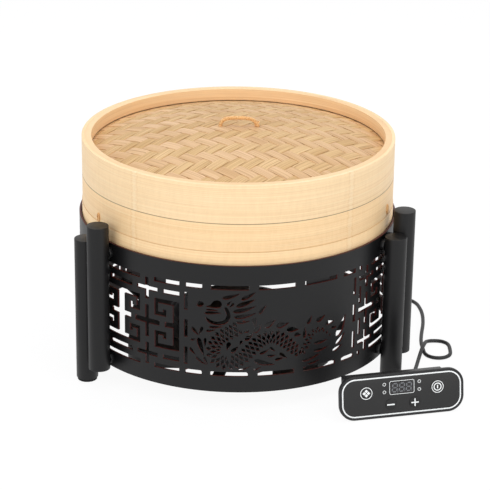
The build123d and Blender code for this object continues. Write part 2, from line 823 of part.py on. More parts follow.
with BuildPart() as panel_gland:
    with BuildSketch(face_plane(face_t + box_depth)):
        with Locations((panel_gland_x, panel_gland_y)):
            RegularPolygon(gland_flange_d / 2, 12)
    extrude(amount=-gland_flange_t)
    with BuildSketch(face_plane(face_t + box_depth)):
        with Locations((panel_gland_x, panel_gland_y)):
            RegularPolygon(gland_d / 2, 12)
    extrude(amount=-gland_len)
panel_gland.part.label = "panel_gland"
export_step(panel_gland.part, "parts/panel_gland.step")

# Control cord: from the unit's gland under the drum, round one loop, to the panel's gland
cord_z = cord_d / 2 + 0.05
cord_over = cord_z + cord_d + fit_gap
cord_start = Vector(cord_gland_x, unit_w / 2 + gland_len, gland_z)
cord_end = face_plane(face_t + box_depth + gland_len).from_local_coords((panel_gland_x, panel_gland_y, 0))
cord_points = (
    cord_start,
    cord_start + Vector(0, 17, 0),
    Vector(66, 118, cord_z + 2),
    Vector(92, 124, cord_z),
    Vector(132, 121, cord_z),
    Vector(172, 124, cord_z),
    Vector(198, 112, cord_z),
    Vector(204, 82, cord_z),
    Vector(203, 50, cord_z),
    Vector(198.5, 20, cord_z),
    Vector(196.5, -1, cord_z),
    Vector(197.3, -17.5, cord_z),
    Vector(198.3, -32.6, cord_z),
    Vector(206.2, -40.5, cord_z),
    Vector(217.4, -40.5, cord_z),
    Vector(225.3, -32.6, cord_z),
    Vector(226, -19, cord_z),
    Vector(225.5, -4.8, cord_z),
    Vector(219.3, 2.3, cord_z),
    Vector(210, 3.5, cord_z),
    Vector(202.1, -1.7, cord_z + 1.5),
    Vector(199, -14, cord_over),
    Vector(195.3, -27.5, cord_over),
    Vector(191, -43, cord_z),
    Vector(186.5, -66, cord_z),
    Vector(181, -90, cord_z + 1),
    cord_end - face_out * 20,
    cord_end,
)
cord_runs = [after - before for before, after in zip(cord_points, cord_points[1:])]
cord_radii = [
    0.45 * min(run.length, following.length) / math.tan(math.radians(run.get_angle(following)) / 2)
    for run, following in zip(cord_runs, cord_runs[1:])
]
print("cord radii", [round(radius) for radius in cord_radii])
print("cord turns", [round(run.get_angle(following)) for run, following in zip(cord_runs, cord_runs[1:])])
print("cord runs", [round(run.length) for run in cord_runs])
with BuildPart() as control_cord:
    with BuildLine() as cord_line:
        FilletPolyline(*cord_points, radius=cord_radii)
    cord_path = cord_line.wires()[0]
    with BuildSketch(Plane(origin=cord_start, z_dir=cord_line.line % 0)):
        RegularPolygon(cord_d / 2, cord_sides)
    sweep()
control_cord.part.label = "control_cord"
export_step(control_cord.part, "parts/control_cord.step")
section = cord_sides / 2 * (cord_d / 2) ** 2 * math.sin(2 * math.pi / cord_sides)
print("cord volume", round(control_cord.part.volume), "section x length", round(section * cord_path.length))
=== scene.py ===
import math

import bpy
from mathutils import Matrix, Vector


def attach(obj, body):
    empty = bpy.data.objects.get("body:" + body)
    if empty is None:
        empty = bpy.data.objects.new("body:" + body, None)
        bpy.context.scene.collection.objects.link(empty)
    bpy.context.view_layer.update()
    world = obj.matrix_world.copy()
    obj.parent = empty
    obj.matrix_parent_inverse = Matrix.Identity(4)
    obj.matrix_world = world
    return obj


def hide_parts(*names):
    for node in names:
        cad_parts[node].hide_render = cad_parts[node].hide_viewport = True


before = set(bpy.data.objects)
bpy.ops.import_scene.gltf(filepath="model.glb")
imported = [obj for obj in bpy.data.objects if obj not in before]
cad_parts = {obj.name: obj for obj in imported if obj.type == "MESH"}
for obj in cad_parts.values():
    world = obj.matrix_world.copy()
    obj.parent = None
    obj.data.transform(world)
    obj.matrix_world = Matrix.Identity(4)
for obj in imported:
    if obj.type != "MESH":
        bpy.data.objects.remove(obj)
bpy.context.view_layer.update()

# Camera: where the photograph was taken from, a long lens a good two metres in front of the
# steamer, looking down by about twenty-two degrees and tilted by less than one.
aim = Vector((0.00818, 0.0, 0.10994))
stand_back = 2.1442
look_down = 21.541
roll = 0.789
tilt = Matrix.Rotation(math.radians(90 - look_down), 4, "X")
camera_turn = tilt @ Matrix.Rotation(math.radians(roll), 4, "Z")
camera_data = bpy.data.cameras.new("camera")
camera_data.lens = 150.9
camera_data.sensor_width = 36.0
camera = bpy.data.objects.new("camera", camera_data)
camera_place = aim + camera_turn.to_3x3() @ Vector((0, 0, stand_back))
camera.matrix_world = Matrix.Translation(camera_place) @ camera_turn
bpy.context.collection.objects.link(camera)
bpy.context.scene.camera = camera
bpy.context.scene.view_settings.view_transform = "Standard"


def paint(red, green, blue):
    """A colour for a shader from its usual values of 0 to 255."""
    light = []
    for value in (red, green, blue):
        share = value / 255
        light.append(((share + 0.055) / 1.055) ** 2.4 if share > 0.04 else share / 12.92)
    return (*light, 1.0)


# Floor and light: a plain white sweep in a studio with large soft lamps. The camera, gloss and
# glass see it as plain white, and the floor keeps the steamer's shadow.
world = bpy.data.worlds.new("studio_air")
bpy.context.scene.world = world
world.use_nodes = True
air = world.node_tree
air.nodes.clear()
world_out = air.nodes.new("ShaderNodeOutputWorld")
soft_air = air.nodes.new("ShaderNodeBackground")
soft_air.inputs["Color"].default_value = paint(252, 252, 255)
soft_air.inputs["Strength"].default_value = 0.55
white_air = air.nodes.new("ShaderNodeBackground")
white_air.inputs["Color"].default_value = (1, 1, 1, 1)


def reckon(tree, kind, first, second=None):
    """One sum: its first value is a socket, and its second a socket, a number or nothing."""
    node = tree.nodes.new("ShaderNodeMath")
    node.operation = kind
    tree.links.new(first, node.inputs[0])
    if isinstance(second, float):
        node.inputs[1].default_value = second
    elif second is not None:
        tree.links.new(second, node.inputs[1])
    return node.outputs[0]


def seen_plain(tree):
    """One where a camera, gloss or glass ray meets the surface, and nought for other light."""
    path = tree.nodes.new("ShaderNodeLightPath")
    direct = reckon(tree, "MAXIMUM", path.outputs["Is Camera Ray"], path.outputs["Is Glossy Ray"])
    return reckon(tree, "MAXIMUM", direct, path.outputs["Is Transmission Ray"])


def shown(tree, share, lit, plain, out):
    """Gives an output two shaders: the plain one by this share, and the lit one for the rest."""
    mix = tree.nodes.new("ShaderNodeMixShader")
    tree.links.new(share, mix.inputs["Fac"])
    tree.links.new(lit.outputs[0], mix.inputs[1])
    tree.links.new(plain.outputs[0], mix.inputs[2])
    tree.links.new(mix.outputs[0], out.inputs["Surface"])


shown(air, seen_plain(air), soft_air, white_air, world_out)

floor_size = 8
floor_level = -0.0002
floor_strength = 1.03
plain_share = 0.9
bpy.ops.mesh.primitive_plane_add(size=floor_size, location=(0, 0, floor_level))
floor = bpy.context.object
floor.name = "floor"
floor_finish = bpy.data.materials.new("white_sweep")
floor_finish.use_nodes = True
sweep = floor_finish.node_tree
sweep_shader = sweep.nodes["Principled BSDF"]
sweep_shader.inputs["Base Color"].default_value = paint(248, 248, 250)
sweep_shader.inputs["Roughness"].default_value = 0.9
floor_glow = sweep.nodes.new("ShaderNodeEmission")
floor_glow.inputs["Color"].default_value = (1, 1, 1, 1)
floor_glow.inputs["Strength"].default_value = floor_strength
floor_share = reckon(sweep, "MULTIPLY", seen_plain(sweep), plain_share)
shown(sweep, floor_share, sweep_shader, floor_glow, sweep.nodes["Material Output"])
floor.data.materials.append(floor_finish)

for lamp_name, lamp_place, lamp_size, lamp_power in (
    ("left_softbox", (-1.1, -1.5, 1.3), 1.2, 13.0),
    ("right_softbox", (1.3, -1.3, 0.9), 1.0, 8.0),
    ("top_softbox", (0.1, 0.3, 1.7), 1.4, 11.0),
):
    towards = Vector((0, 0, 0.12)) - Vector(lamp_place)
    lamp_data = bpy.data.lights.new(lamp_name, "AREA")
    lamp_data.size = lamp_size
    lamp_data.energy = lamp_power
    lamp = bpy.data.objects.new(lamp_name, lamp_data)
    lamp.location = lamp_place
    lamp.rotation_euler = towards.to_track_quat("-Z", "Y").to_euler()
    bpy.context.collection.objects.link(lamp)


# Control cord: four millimetres of soft black jacket, which leaves the heating unit behind the
# drum, lies loose on the table round one open turn, and goes up into the panel's rear gland.
def new_finish(name, colour, roughness):
    """A material and its tree and shader, with its plain colour and roughness set."""
    finish = bpy.data.materials.new(name)
    finish.use_nodes = True
    shader = finish.node_tree.nodes["Principled BSDF"]
    shader.inputs["Base Color"].default_value = colour
    shader.inputs["Roughness"].default_value = roughness
    return finish, finish.node_tree, shader


def scaled(tree, place, stretch):
    """Coordinates scaled per axis, so that a pattern is long or short along it."""
    scaling = tree.nodes.new("ShaderNodeMapping")
    scaling.inputs["Scale"].default_value = stretch
    tree.links.new(place, scaling.inputs["Vector"])
    return scaling.outputs["Vector"]


def place_on_piece(tree, stretch=(1, 1, 1)):
    """The piece's own coordinates."""
    return scaled(tree, tree.nodes.new("ShaderNodeTexCoord").outputs["Object"], stretch)


def cloud(tree, place, scale, detail, roughness=0.55):
    """A soft noise, from nought to one."""
    noise = tree.nodes.new("ShaderNodeTexNoise")
    noise.inputs["Scale"].default_value = scale
    noise.inputs["Detail"].default_value = detail
    noise.inputs["Roughness"].default_value = roughness
    tree.links.new(place, noise.inputs["Vector"])
    return noise.outputs["Fac"]


def shades(tree, factor, stops):
    """A ramp of colours over a pattern: stops are pairs of place and colour."""
    ramp = tree.nodes.new("ShaderNodeValToRGB")
    ramp.color_ramp.elements[0].position = stops[0][0]
    ramp.color_ramp.elements[0].color = stops[0][1]
    ramp.color_ramp.elements[1].position = stops[-1][0]
    ramp.color_ramp.elements[1].color = stops[-1][1]
    for position, colour in stops[1:-1]:
        ramp.color_ramp.elements.new(position).color = colour
    tree.links.new(factor, ramp.inputs["Fac"])
    return ramp.outputs["Color"]


def relief(tree, shader, height, depth, strength=1.0):
    """Bumps the surface by a pattern, with its depth in metres."""
    bump = tree.nodes.new("ShaderNodeBump")
    bump.inputs["Strength"].default_value = strength
    bump.inputs["Distance"].default_value = depth
    tree.links.new(height, bump.inputs["Height"])
    tree.links.new(bump.outputs["Normal"], shader.inputs["Normal"])


def spread(tree, factor, low, high):
    """A pattern's range from nought to one turned into a range of values."""
    span = tree.nodes.new("ShaderNodeMapRange")
    span.inputs["To Min"].default_value = low
    span.inputs["To Max"].default_value = high
    tree.links.new(factor, span.inputs["Value"])
    return span.outputs["Result"]


def uneven(tree, shader, pattern, low, high):
    """Makes the roughness vary with a pattern, from low to high."""
    tree.links.new(spread(tree, pattern, low, high), shader.inputs["Roughness"])


def grained(name, colour, roughness, grain, low, high, depth=0.0, strength=0.5):
    """A plain material with a fine grain in its roughness and, given a depth, in its surface."""
    finish, tree, shader = new_finish(name, colour, roughness)
    grains = cloud(tree, place_on_piece(tree), grain, 2)
    uneven(tree, shader, grains, low, high)
    if depth:
        relief(tree, shader, grains, depth, strength)
    return finish


def strand(name, route, steps, radius=0.0, sides=0):
    """A bent line through points, round and closed at its ends where it has a radius."""
    curve = bpy.data.curves.new(name, "CURVE")
    curve.dimensions = "3D"
    run = curve.splines.new("NURBS")
    run.points.add(len(route) - 1)
    for point, place in zip(run.points, route):
        point.co = (*place, 1)
    run.order_u = 3
    run.use_endpoint_u = True
    run.resolution_u = steps
    curve.bevel_depth = radius
    curve.bevel_resolution = sides
    curve.use_fill_caps = True
    line = bpy.data.objects.new(name, curve)
    bpy.context.collection.objects.link(line)
    return line


def settle(piece, finish, body, node):
    """Gives a piece its one material and its body, and hides the node it stands for, if any."""
    if finish:
        piece.data.materials.clear()
        piece.data.materials.append(finish)
    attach(piece, body)
    if node:
        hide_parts(node)


cord_low = 0.00205
cord_route = [place if len(place) == 3 else (*place, cord_low) for place in (
    (0.058, 0.081, 0.01025), (0.058, 0.098, 0.01025), (0.066, 0.118, 0.00405), (0.092, 0.124), (0.132, 0.121),
    (0.172, 0.124), (0.198, 0.112), (0.204, 0.082), (0.203, 0.050), (0.1985, 0.020), (0.1965, -0.001),
    (0.1973, -0.0175), (0.1983, -0.0326), (0.2062, -0.0405), (0.2174, -0.0405), (0.2253, -0.0326),
    (0.226, -0.019), (0.2255, -0.0048), (0.2193, 0.0023), (0.210, 0.0035), (0.2021, -0.0017, 0.00355),
    (0.199, -0.014, 0.00635), (0.1953, -0.0275, 0.00635), (0.191, -0.043), (0.1865, -0.066),
    (0.181, -0.090, 0.00305), (0.17072, -0.10873, 0.01011), (0.17562, -0.12782, 0.01348),
)]
control_lead = strand("control_lead", cord_route, 10, 0.002, 4)
cord_finish = grained("cord_jacket", paint(20, 20, 21), 0.5, 900, 0.42, 0.6, 0.00005)
settle(control_lead, cord_finish, "base", "control_cord")

# Ring housing: one strip of two millimetre steel, laser-cut flat with its lattice fields and dragon
# panels, rolled into a drum and coated satin black outside and red inside and in the cuts, with
# the inside's red painted much darker as shade.
ring_r = 0.1635
ring_low = 0.018
ring_wall = 0.002
pattern_mid = 0.0654
wall_seam = 137.6
mm_per_degree = 2.8536
panel_middles = (284.4, 104.4)
field_start = 34.1
field_span = 111.8
cell = 23.75
first_cross = 4.2
cross_bar_half = 0.72
border_band = (43.6, 48.2)
border_half = 8.925
inner_band = (32.6, 37.2)
inner_half = 5.425
hook_band = (8.3, 26.3)
hook_reach = 8.825
frame_slot_half = (0.65, 9.2)
openings = []


def cut(middle, points):
    """One opening: points in degrees round from its middle and millimetres up from the pattern's."""
    openings.append([(middle + turn, rise) for turn, rise in points])


def slot(middle, low_turn, high_turn, band, level=1):
    """One straight slot between two turns in a band of heights, or below with a level of minus one."""
    low, high = sorted((level * band[0], level * band[1]))
    cut(middle, [(low_turn, low), (high_turn, low), (high_turn, high), (low_turn, high)])


def trimmed(points, low_turn, high_turn):
    """An outline cut off at two upright lines, which it crosses once each."""
    for limit, keep in ((low_turn, 1), (high_turn, -1)):
        kept = []
        for (turn, rise), (next_turn, next_rise) in zip(points, points[1:] + points[:1]):
            inside = keep * (turn - limit) >= 0
            if inside:
                kept.append((turn, rise))
            if inside != (keep * (next_turn - limit) >= 0):
                kept.append((limit, rise + (next_rise - rise) * (limit - turn) / (next_turn - turn)))
        points = kept
    return points


def cross(arm, rise, half_bar, half_slot, height):
    """A cross with arms this many degrees long and a bar this high."""
    return [
        (-arm, height - half_slot), (-half_bar, height - half_slot), (-half_bar, height - rise),
        (half_bar, height - rise), (half_bar, height - half_slot), (arm, height - half_slot),
        (arm, height + half_slot), (half_bar, height + half_slot), (half_bar, height + rise),
        (-half_bar, height + rise), (-half_bar, height + half_slot), (-arm, height + half_slot),
    ]


fret_quarter = [
    (4.725, 0.0), (4.725, 2.75), (1.675, 2.75), (1.675, 21.5), (7.325, 21.5), (7.325, 12.4), (5.475, 12.4),
    (5.475, 15.6), (4.175, 15.6), (4.175, 8.3), (8.825, 8.3), (8.825, 26.3), (0.0, 26.3),
]
fret_upper = fret_quarter + [(-turn, rise) for turn, rise in reversed(fret_quarter[:-1])]
fret = fret_upper + [(turn, -rise) for turn, rise in reversed(fret_upper[1:-1])]


def flame(x, y, turn, length, width, bow):
    """A curved opening with a round root and a sharp tip, by its root, heading, size and bow."""
    left, right = [], []
    for share, half in ((0.0, 0.3), (0.1, 0.8), (0.3, 1.0), (0.5, 0.85), (0.7, 0.58), (0.88, 0.27)):
        left.append((share * length, bow * share**2 + half * width / 2))
        right.append((share * length, bow * share**2 - half * width / 2))
    cosine, sine = math.cos(math.radians(turn)), math.sin(math.radians(turn))
    outline = right + [(length, bow)] + left[::-1]
    return [(x + a * cosine - b * sine, y + a * sine + b * cosine) for a, b in outline]


def through(points, steps, closed):
    """A smooth line through points, open or closed."""
    line = []
    last = len(points) - 1
    for index in range(last + closed):
        if closed:
            four = [points[(index + shift) % len(points)] for shift in (-1, 0, 1, 2)]
        else:
            four = [points[max(0, min(last, index + shift))] for shift in (-1, 0, 1, 2)]
        for step in range(steps):
            t = step / steps
            line.append(tuple(
                0.5 * (2 * b + (c - a) * t + (2 * a - 5 * b + 4 * c - d) * t * t
                       + (3 * b - a - 3 * c + d) * t**3)
                for a, b, c, d in zip(*four)
            ))
    return line if closed else line + [points[-1]]


spine_line = through([
    (-31, 10), (-43, 1), (-56, -7), (-62.5, -18), (-60, -29), (-49, -34), (-36, -29), (-26, -19.5), (-15, -9),
    (-3, -6.5), (8, -12.5), (17, -21), (26, -26.5), (31.5, -19), (36, -9.5), (44, -5.5), (53, -10), (62, -18.5),
], 12, False)


def walked(line):
    """How far along a line each of its points lies."""
    lengths = [0.0]
    for before, after in zip(line, line[1:]):
        lengths.append(lengths[-1] + math.dist(before, after))
    return lengths


def place_along(line, lengths, distance):
    """The place this far along a line, and the step from the point before it to the one after."""
    index = min(max(i for i, length in enumerate(lengths) if length <= distance), len(line) - 2)
    share = (distance - lengths[index]) / (lengths[index + 1] - lengths[index])
    step = [there - here for here, there in zip(line[index], line[index + 1])]
    return [here + side * share for here, side in zip(line[index], step)], step


def heading_at(distance):
    """The dragon's heading this far along its middle line."""
    run, rise = place_along(spine_line, spine_lengths, distance)[1]
    return math.atan2(rise, run)


spine_lengths = walked(spine_line)
spine_end = spine_lengths[-1]
dragon = []
scale_places = []
scale_step = 5.0
body_half = 7.5
body_thins = 0.62
thinning = 13
for index in range(2, int(spine_end / scale_step)):
    distance = index * scale_step
    half = body_half - max(0.0, distance / spine_end - body_thins) * thinning
    rows, clear = (3, 2.9) if half > 5.7 else (2, 2.6) if half > 3.6 else (1, 2.4)
    row_step = half * 0.68
    for row in range(rows):
        off = row_step * (row - (rows - 1) / 2)
        place = distance + (scale_step / 2 if row % 2 else 0)
        (x, y), heading = place_along(spine_line, spine_lengths, place)[0], heading_at(place)
        bend = heading_at(distance + scale_step) - heading_at(distance - scale_step)
        bend = math.remainder(bend, 2 * math.pi) / (2 * scale_step)
        stretch = min(1.1, 1 - off * bend) * (1 if rows == 3 else 0.82)
        cosine, sine = math.cos(heading), math.sin(heading)
        x, y = x - off * sine, y + off * cosine
        if stretch > 0.45 and all(math.dist((x, y), other) > clear for other in scale_places):
            scale_places.append((x, y))
            up = min(row_step * 0.74, half + 0.2 - off)
            down = min(row_step * 0.74, half + 0.2 + off)
            dragon.append([
                (x + a * cosine - b * sine, y + a * sine + b * cosine)
                for a, b in ((2.0 * stretch, 0.0), (0.1, up), (-1.9 * stretch, 0.0), (0.1, -down))
            ])
for outline in (
    [(-79.5, 27), (-77, 30.5), (-73.5, 30), (-72.5, 26.8), (-75, 24.6), (-78.3, 24.8)],
    [(-70.5, 25.6), (-66, 27.2), (-63, 31.2), (-59, 32.6), (-55.5, 31), (-54.6, 27), (-57, 24.6), (-64, 24.2)],
    [(-52.5, 24), (-50, 18), (-51.5, 13), (-57, 10.2), (-64, 10.8), (-71, 14.5), (-67, 8.2), (-58, 6.2),
     (-50, 8.6), (-46.2, 14), (-47, 21), (-50, 25.5)],
):
    dragon.append(through(outline, 4, True))
for part in (
    # mouth, eye, horns and mane
    (-71.5, 18.2, 10, 17, 3.4, -2), (-70, 22, 4, 13, 2, -1.6), (-49, 27.5, 75, 6, 2.8, -3),
    (-43.2, 30.4, -105, 6, 2.8, -3), (-40.5, 26.9, 14, 20, 5, 2.6), (-43.5, 21.2, 4, 23, 4.8, 4.4),
    (-42.5, 15.4, 0, 22, 4.6, 4.4), (-54, 35, 8, 18, 4.2, 3), (-35.6, 34, 22, 16, 4.4, 2),
    (-40.2, 10.2, -4, 13.5, 3.4, 2.4), (-23.2, 14.6, -84, 9.5, 4.2, 1), (-67, 4, -4, 14, 2.8, 2.2),
    (-70, -0.4, 2, 10, 2.6, 1.6), (-18, 18.5, 64, 11, 3.6, -2.6),
    # foreleg and claws
    (-84, 2.2, -62, 10.5, 3.8, 2.4), (-74, 3.5, -96, 9, 3.4, -2.2), (-77.5, -8.6, -80, 20, 5.4, 2.4),
    (-70.6, -8.2, -98, 9.5, 3, 1), (-85.4, -11.5, 4, 5.6, 2.4, 0.8), (-80, -29, -48, 13.5, 3, 3),
    (-71.5, -28.5, -80, 8.5, 3.2, 2), (-86, -20, -66, 9, 3, 2.4),
    # flames inside the first loop
    (-28, 1.4, -150, 5.6, 3, -0.8), (-46.4, -11.5, -118, 9, 4.6, 1.6), (-44.5, -22.8, 60, 9.6, 4.4, -2.2),
    (-34.5, -9.6, -124, 4.8, 3, 0.8),
    # spines
    (-31.8, -8.6, 26, 11, 4.8, 2.8), (-23.2, -0.4, 32, 11, 5.6, 2.8), (-12.6, 5.2, 14, 12.5, 6.4, 3.6),
    (-0.6, 5.2, -10, 12.5, 6.6, 3.8), (10.4, 0.6, -28, 12, 6.4, 3.8), (18.6, -6, -38, 6.6, 5, 2.2),
    (28.6, -12.2, 82, 13, 4, 1.6), (31.6, 2.8, 42, 9, 4.2, 2.6), (41.8, 4, 6, 11, 5.4, 3.2),
    (52.6, -0.4, -20, 10.5, 5, 3.2), (60, -6.6, -34, 6.6, 3.8, 2.2),
    # hind leg
    (-17, -24, 12, 10.5, 3, 2.5), (-6.5, -17.4, -60, 7, 3, 2), (-22, -30.6, -28, 21, 5.6, 4.5),
    (-1.5, -32, 20, 9, 3.2, -1.5), (3.4, -24.6, -52, 10, 3.8, 2), (-9.5, -26.6, -12, 9, 3, 2),
    # clouds and tail
    (-38, -41.2, 8, 13, 2, 2.6), (-23, -41, 12, 8.5, 2.2, 1.2), (27, -36.5, 4, 21, 3.6, 3),
    (39.5, -28, -4, 18, 3.6, 2.8), (33, -41, 2, 15, 2.4, 2), (40, -19.5, -8, 16, 3.6, 3.2),
    (67, -18.5, 52, 24, 8, 4.4), (66.5, -26.8, 30, 15, 4.8, 3.2), (62.5, -33, 8, 13, 4, 2.4),
):
    dragon.append(flame(*part))

for panel_mid in panel_middles:
    for outline in dragon:
        cut(panel_mid, [(x / mm_per_degree, y) for x, y in outline])
    field_low = panel_mid - 180 + field_start
    for index in range(5):
        place = first_cross + cell * index
        for arm, rise, half_slot, height in (
            (5.1, 17.1, 2.75, 0.0), (4.25, 11.35, 2.2, 34.8), (4.25, 11.35, 2.2, -34.8),
        ):
            outline = cross(arm, rise, cross_bar_half, half_slot, height)
            cut(field_low + place, trimmed(outline, -place, cell))
        place += cell / 2
        far = min(cell / 2, field_span - place)
        cut(field_low + place, trimmed(fret, -cell, far))
        for level in (-1, 1):
            slot(field_low + place, -border_half, min(border_half, far), border_band, level)
            slot(field_low + place, -inner_half, min(inner_half, far), inner_band, level)
    place = first_cross - cell / 2
    for level in (-1, 1):
        slot(field_low + place, -place, hook_reach, hook_band, level)
        slot(field_low + place, -place, border_half, border_band, level)
    for turn, half in ((-28.9, 2.94), (-16.45, 6.5), (0, 6.5), (16.45, 6.5), (28.9, 2.94)):
        for level in (1, -1):
            slot(panel_mid, turn - half, turn + half, border_band, level)
    wide, high = frame_slot_half
    for turn in (-31.7, 31.7):
        for middle in (-29.0, 0.0, 29.0):
            slot(panel_mid, turn - wide, turn + wide, (middle - high, middle + high))


def alone(piece):
    """Selects one object and nothing else."""
    bpy.ops.object.select_all(action="DESELECT")
    piece.select_set(True)
    bpy.context.view_layer.objects.active = piece


def flat_sheet(name, outlines):
    """A flat mesh filled inside its first outline and holed by those that lie within."""
    shape = bpy.data.curves.new(name, "CURVE")
    shape.dimensions = "2D"
    shape.fill_mode = "BOTH"
    for outline in outlines:
        run = shape.splines.new("POLY")
        run.points.add(len(outline) - 1)
        for point, (x, y) in zip(run.points, outline):
            point.co = (x, y, 0, 1)
        run.use_cyclic_u = True
    sheet = bpy.data.objects.new(name, shape)
    bpy.context.collection.objects.link(sheet)
    alone(sheet)
    bpy.ops.object.convert(target="MESH")
    return sheet


low_edge, top_edge = -65.4, 68.6
far_seam = wall_seam + 360
sheet_edge = [(wall_seam, low_edge), (far_seam, low_edge), (far_seam, top_edge), (wall_seam, top_edge)]


def unrolled(turn, rise):
    """A point of the pattern's place on the flat sheet, in metres from the seam."""
    turn = turn if turn >= wall_seam - 0.001 else turn + 360
    return math.radians(turn - wall_seam) * ring_r, pattern_mid + rise / 1000


flat = [[unrolled(*point) for point in outline] for outline in [sheet_edge] + openings]
drum = flat_sheet("laser_cut_drum", flat)


def edit_all(piece):
    """Goes into edit mode on one piece with all of it selected."""
    alone(piece)
    bpy.ops.object.mode_set(mode="EDIT")
    bpy.ops.mesh.select_all(action="SELECT")


def leave_edit():
    """Goes back to object mode."""
    bpy.ops.object.mode_set(mode="OBJECT")


bpy.ops.object.mode_set(mode="EDIT")
for step in range(1, 180):
    bpy.ops.mesh.select_all(action="SELECT")
    bpy.ops.mesh.bisect(plane_co=(math.radians(2 * step) * ring_r, 0, 0), plane_no=(1, 0, 0))
bpy.ops.mesh.select_all(action="SELECT")
weld = 0.00001
bpy.ops.mesh.remove_doubles(threshold=weld)
leave_edit()
for corner in drum.data.vertices:
    turn = corner.co.x / ring_r + math.radians(wall_seam)
    corner.co = (ring_r * math.cos(turn), ring_r * math.sin(turn), ring_low + corner.co.y)
drum.data.update()
facing = sum(1 if face.normal.dot(face.center) > 0 else -1 for face in drum.data.polygons)
edit_all(drum)
bpy.ops.mesh.remove_doubles(threshold=weld)
if facing < 0:
    bpy.ops.mesh.flip_normals()
leave_edit()


def coat(name, colour, roughness, grain):
    """Powder coat: a fine orange peel, with a little uneven gloss."""
    finish, tree, shader = new_finish(name, colour, roughness)
    place = place_on_piece(tree)
    shader.inputs["Specular IOR Level"].default_value = 0.32
    uneven(tree, shader, cloud(tree, place, 45, 3), roughness - 0.06, roughness + 0.08)
    relief(tree, shader, cloud(tree, place, grain, 3), 0.00006, 0.35)
    return finish


black_coat = coat("satin_black_coat", paint(18, 18, 19), 0.42, 1500)
# Painted shade: the inside's red coat is set much darker than the cut edges' red, for the shade inside the
# drum.
shaded_inner_coat = coat("inner_red_coat_painted_shade", paint(34, 15, 14), 0.55, 1500)
edge_coat = coat("red_cut_edges", paint(76, 23, 19), 0.45, 1500)
drum.data.materials.clear()
for finish in (black_coat, shaded_inner_coat, edge_coat):
    drum.data.materials.append(finish)


def finish_with(piece, kind, **settings):
    """Adds one modifier and applies it."""
    alone(piece)
    modifier = piece.modifiers.new(kind.lower(), kind)
    for setting, value in settings.items():
        setattr(modifier, setting, value)
    bpy.ops.object.modifier_apply(modifier=modifier.name)


def round_edges(piece, width, segments, angle=50):
    """Rounds the edges that are sharper than this many degrees."""
    limit = math.radians(angle)
    finish_with(piece, "BEVEL", width=width, segments=segments, limit_method="ANGLE", angle_limit=limit)


def smooth(piece, angle=35):
    """Smooth shading with its sharp edges kept."""
    alone(piece)
    bpy.ops.object.shade_smooth_by_angle(angle=math.radians(angle))


finish_with(drum, "SOLIDIFY", thickness=ring_wall, offset=-1, material_offset=1, material_offset_rim=2)
round_edges(drum, 0.0002, 1)
smooth(drum, 40)
settle(drum, None, "base", "ring_housing")

# Posts: six round steel bars in three pairs round the drum, one of each pair on the table on a
# rubber foot and the other set higher, all coated black, with a plug pressed into each top.
post_circle = 0.179
post_r = 0.011
half_pair = 3.7
floor_bar = (0.003, 0.1535)
raised_bar = (0.0205, 0.174)


def fresh(name):
    """The mesh just added, named, with its place, turn and size applied."""
    piece = bpy.context.object
    piece.name = name
    bpy.ops.object.transform_apply(location=True, rotation=True, scale=True)
    return piece


def pick(piece, wanted):
    """Goes into edit mode on a piece with the wanted faces selected."""
    edit_all(piece)
    bpy.ops.mesh.select_all(action="DESELECT")
    leave_edit()
    for face in piece.data.polygons:
        face.select = wanted(face)
    bpy.ops.object.mode_set(mode="EDIT")


def post(name, azimuth, low, high, node):
    """One round bar with a turned edge and its top plug."""
    turn = math.radians(azimuth)
    place = (post_circle * math.cos(turn), post_circle * math.sin(turn), (low + high) / 2)
    bpy.ops.mesh.primitive_cylinder_add(vertices=72, radius=post_r, depth=high - low, location=place)
    bar = fresh(name)
    pick(bar, lambda face: abs(face.normal.z) > 0.9)
    for inset, sink in ((0.0016, 0), (0.0002, -0.0003), (0.0002, 0.0003)):
        bpy.ops.mesh.inset(thickness=inset, depth=sink)
    leave_edit()
    round_edges(bar, 0.0005, 3, 80)
    smooth(bar, 40)
    settle(bar, black_coat, "base", node)


for pair, azimuth in (("left", 216.5), ("right", 336.5), ("rear", 96.5)):
    post(pair + "_floor_bar", azimuth - half_pair, *floor_bar, pair + "_floor_post")
    post(pair + "_raised_bar", azimuth + half_pair, *raised_bar, pair + "_raised_post")


# Welded stand-offs, shelf brackets and the heating unit: bent and welded sheet steel with soft
# folded edges, coated black, with rubber feet beneath it and rubber glands behind.
def softened(name, node, body, width, segments, finish, angle=40):
    """A copy of a CAD node, welded into one skin, with its edges rounded."""
    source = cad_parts[node]
    piece = bpy.data.objects.new(name, source.data.copy())
    bpy.context.collection.objects.link(piece)
    edit_all(piece)
    bpy.ops.mesh.remove_doubles(threshold=0.000005)
    bpy.ops.mesh.dissolve_limited(angle_limit=math.radians(1))
    leave_edit()
    round_edges(piece, width, segments, angle)
    smooth(piece)
    settle(piece, finish, body, node)
    return piece


matt_coat = coat("matt_black_coat", paint(26, 26, 27), 0.62, 1100)
rubber = coat("black_rubber", paint(24, 24, 24), 0.78, 2200)
for name, node, width, segments, finish, slot_name in (
    ("welded_standoffs", "post_standoffs", 0.0004, 2, black_coat, "black_coat"),
    ("bent_brackets", "shelf_brackets", 0.0004, 2, black_coat, "black_coat"),
    ("unit_shell", "unit_base", 0.0008, 3, matt_coat, "tray_steel"),
    ("unit_lid", "unit_cover", 0.0006, 3, matt_coat, "tray_steel"),
    ("box_cover", "power_box_lid", 0.0006, 3, matt_coat, "tray_steel"),
    ("post_foot_pads", "post_feet", 0.0005, 2, rubber, "black_rubber"),
    ("unit_foot_pads", "unit_feet", 0.0004, 2, rubber, "black_rubber"),
    ("unit_cord_bush", "cord_gland", 0.0005, 2, rubber, "black_rubber"),
    ("unit_mains_bush", "mains_gland", 0.0005, 2, rubber, "black_rubber"),
):
    softened(name, node, "base", width, segments, finish)

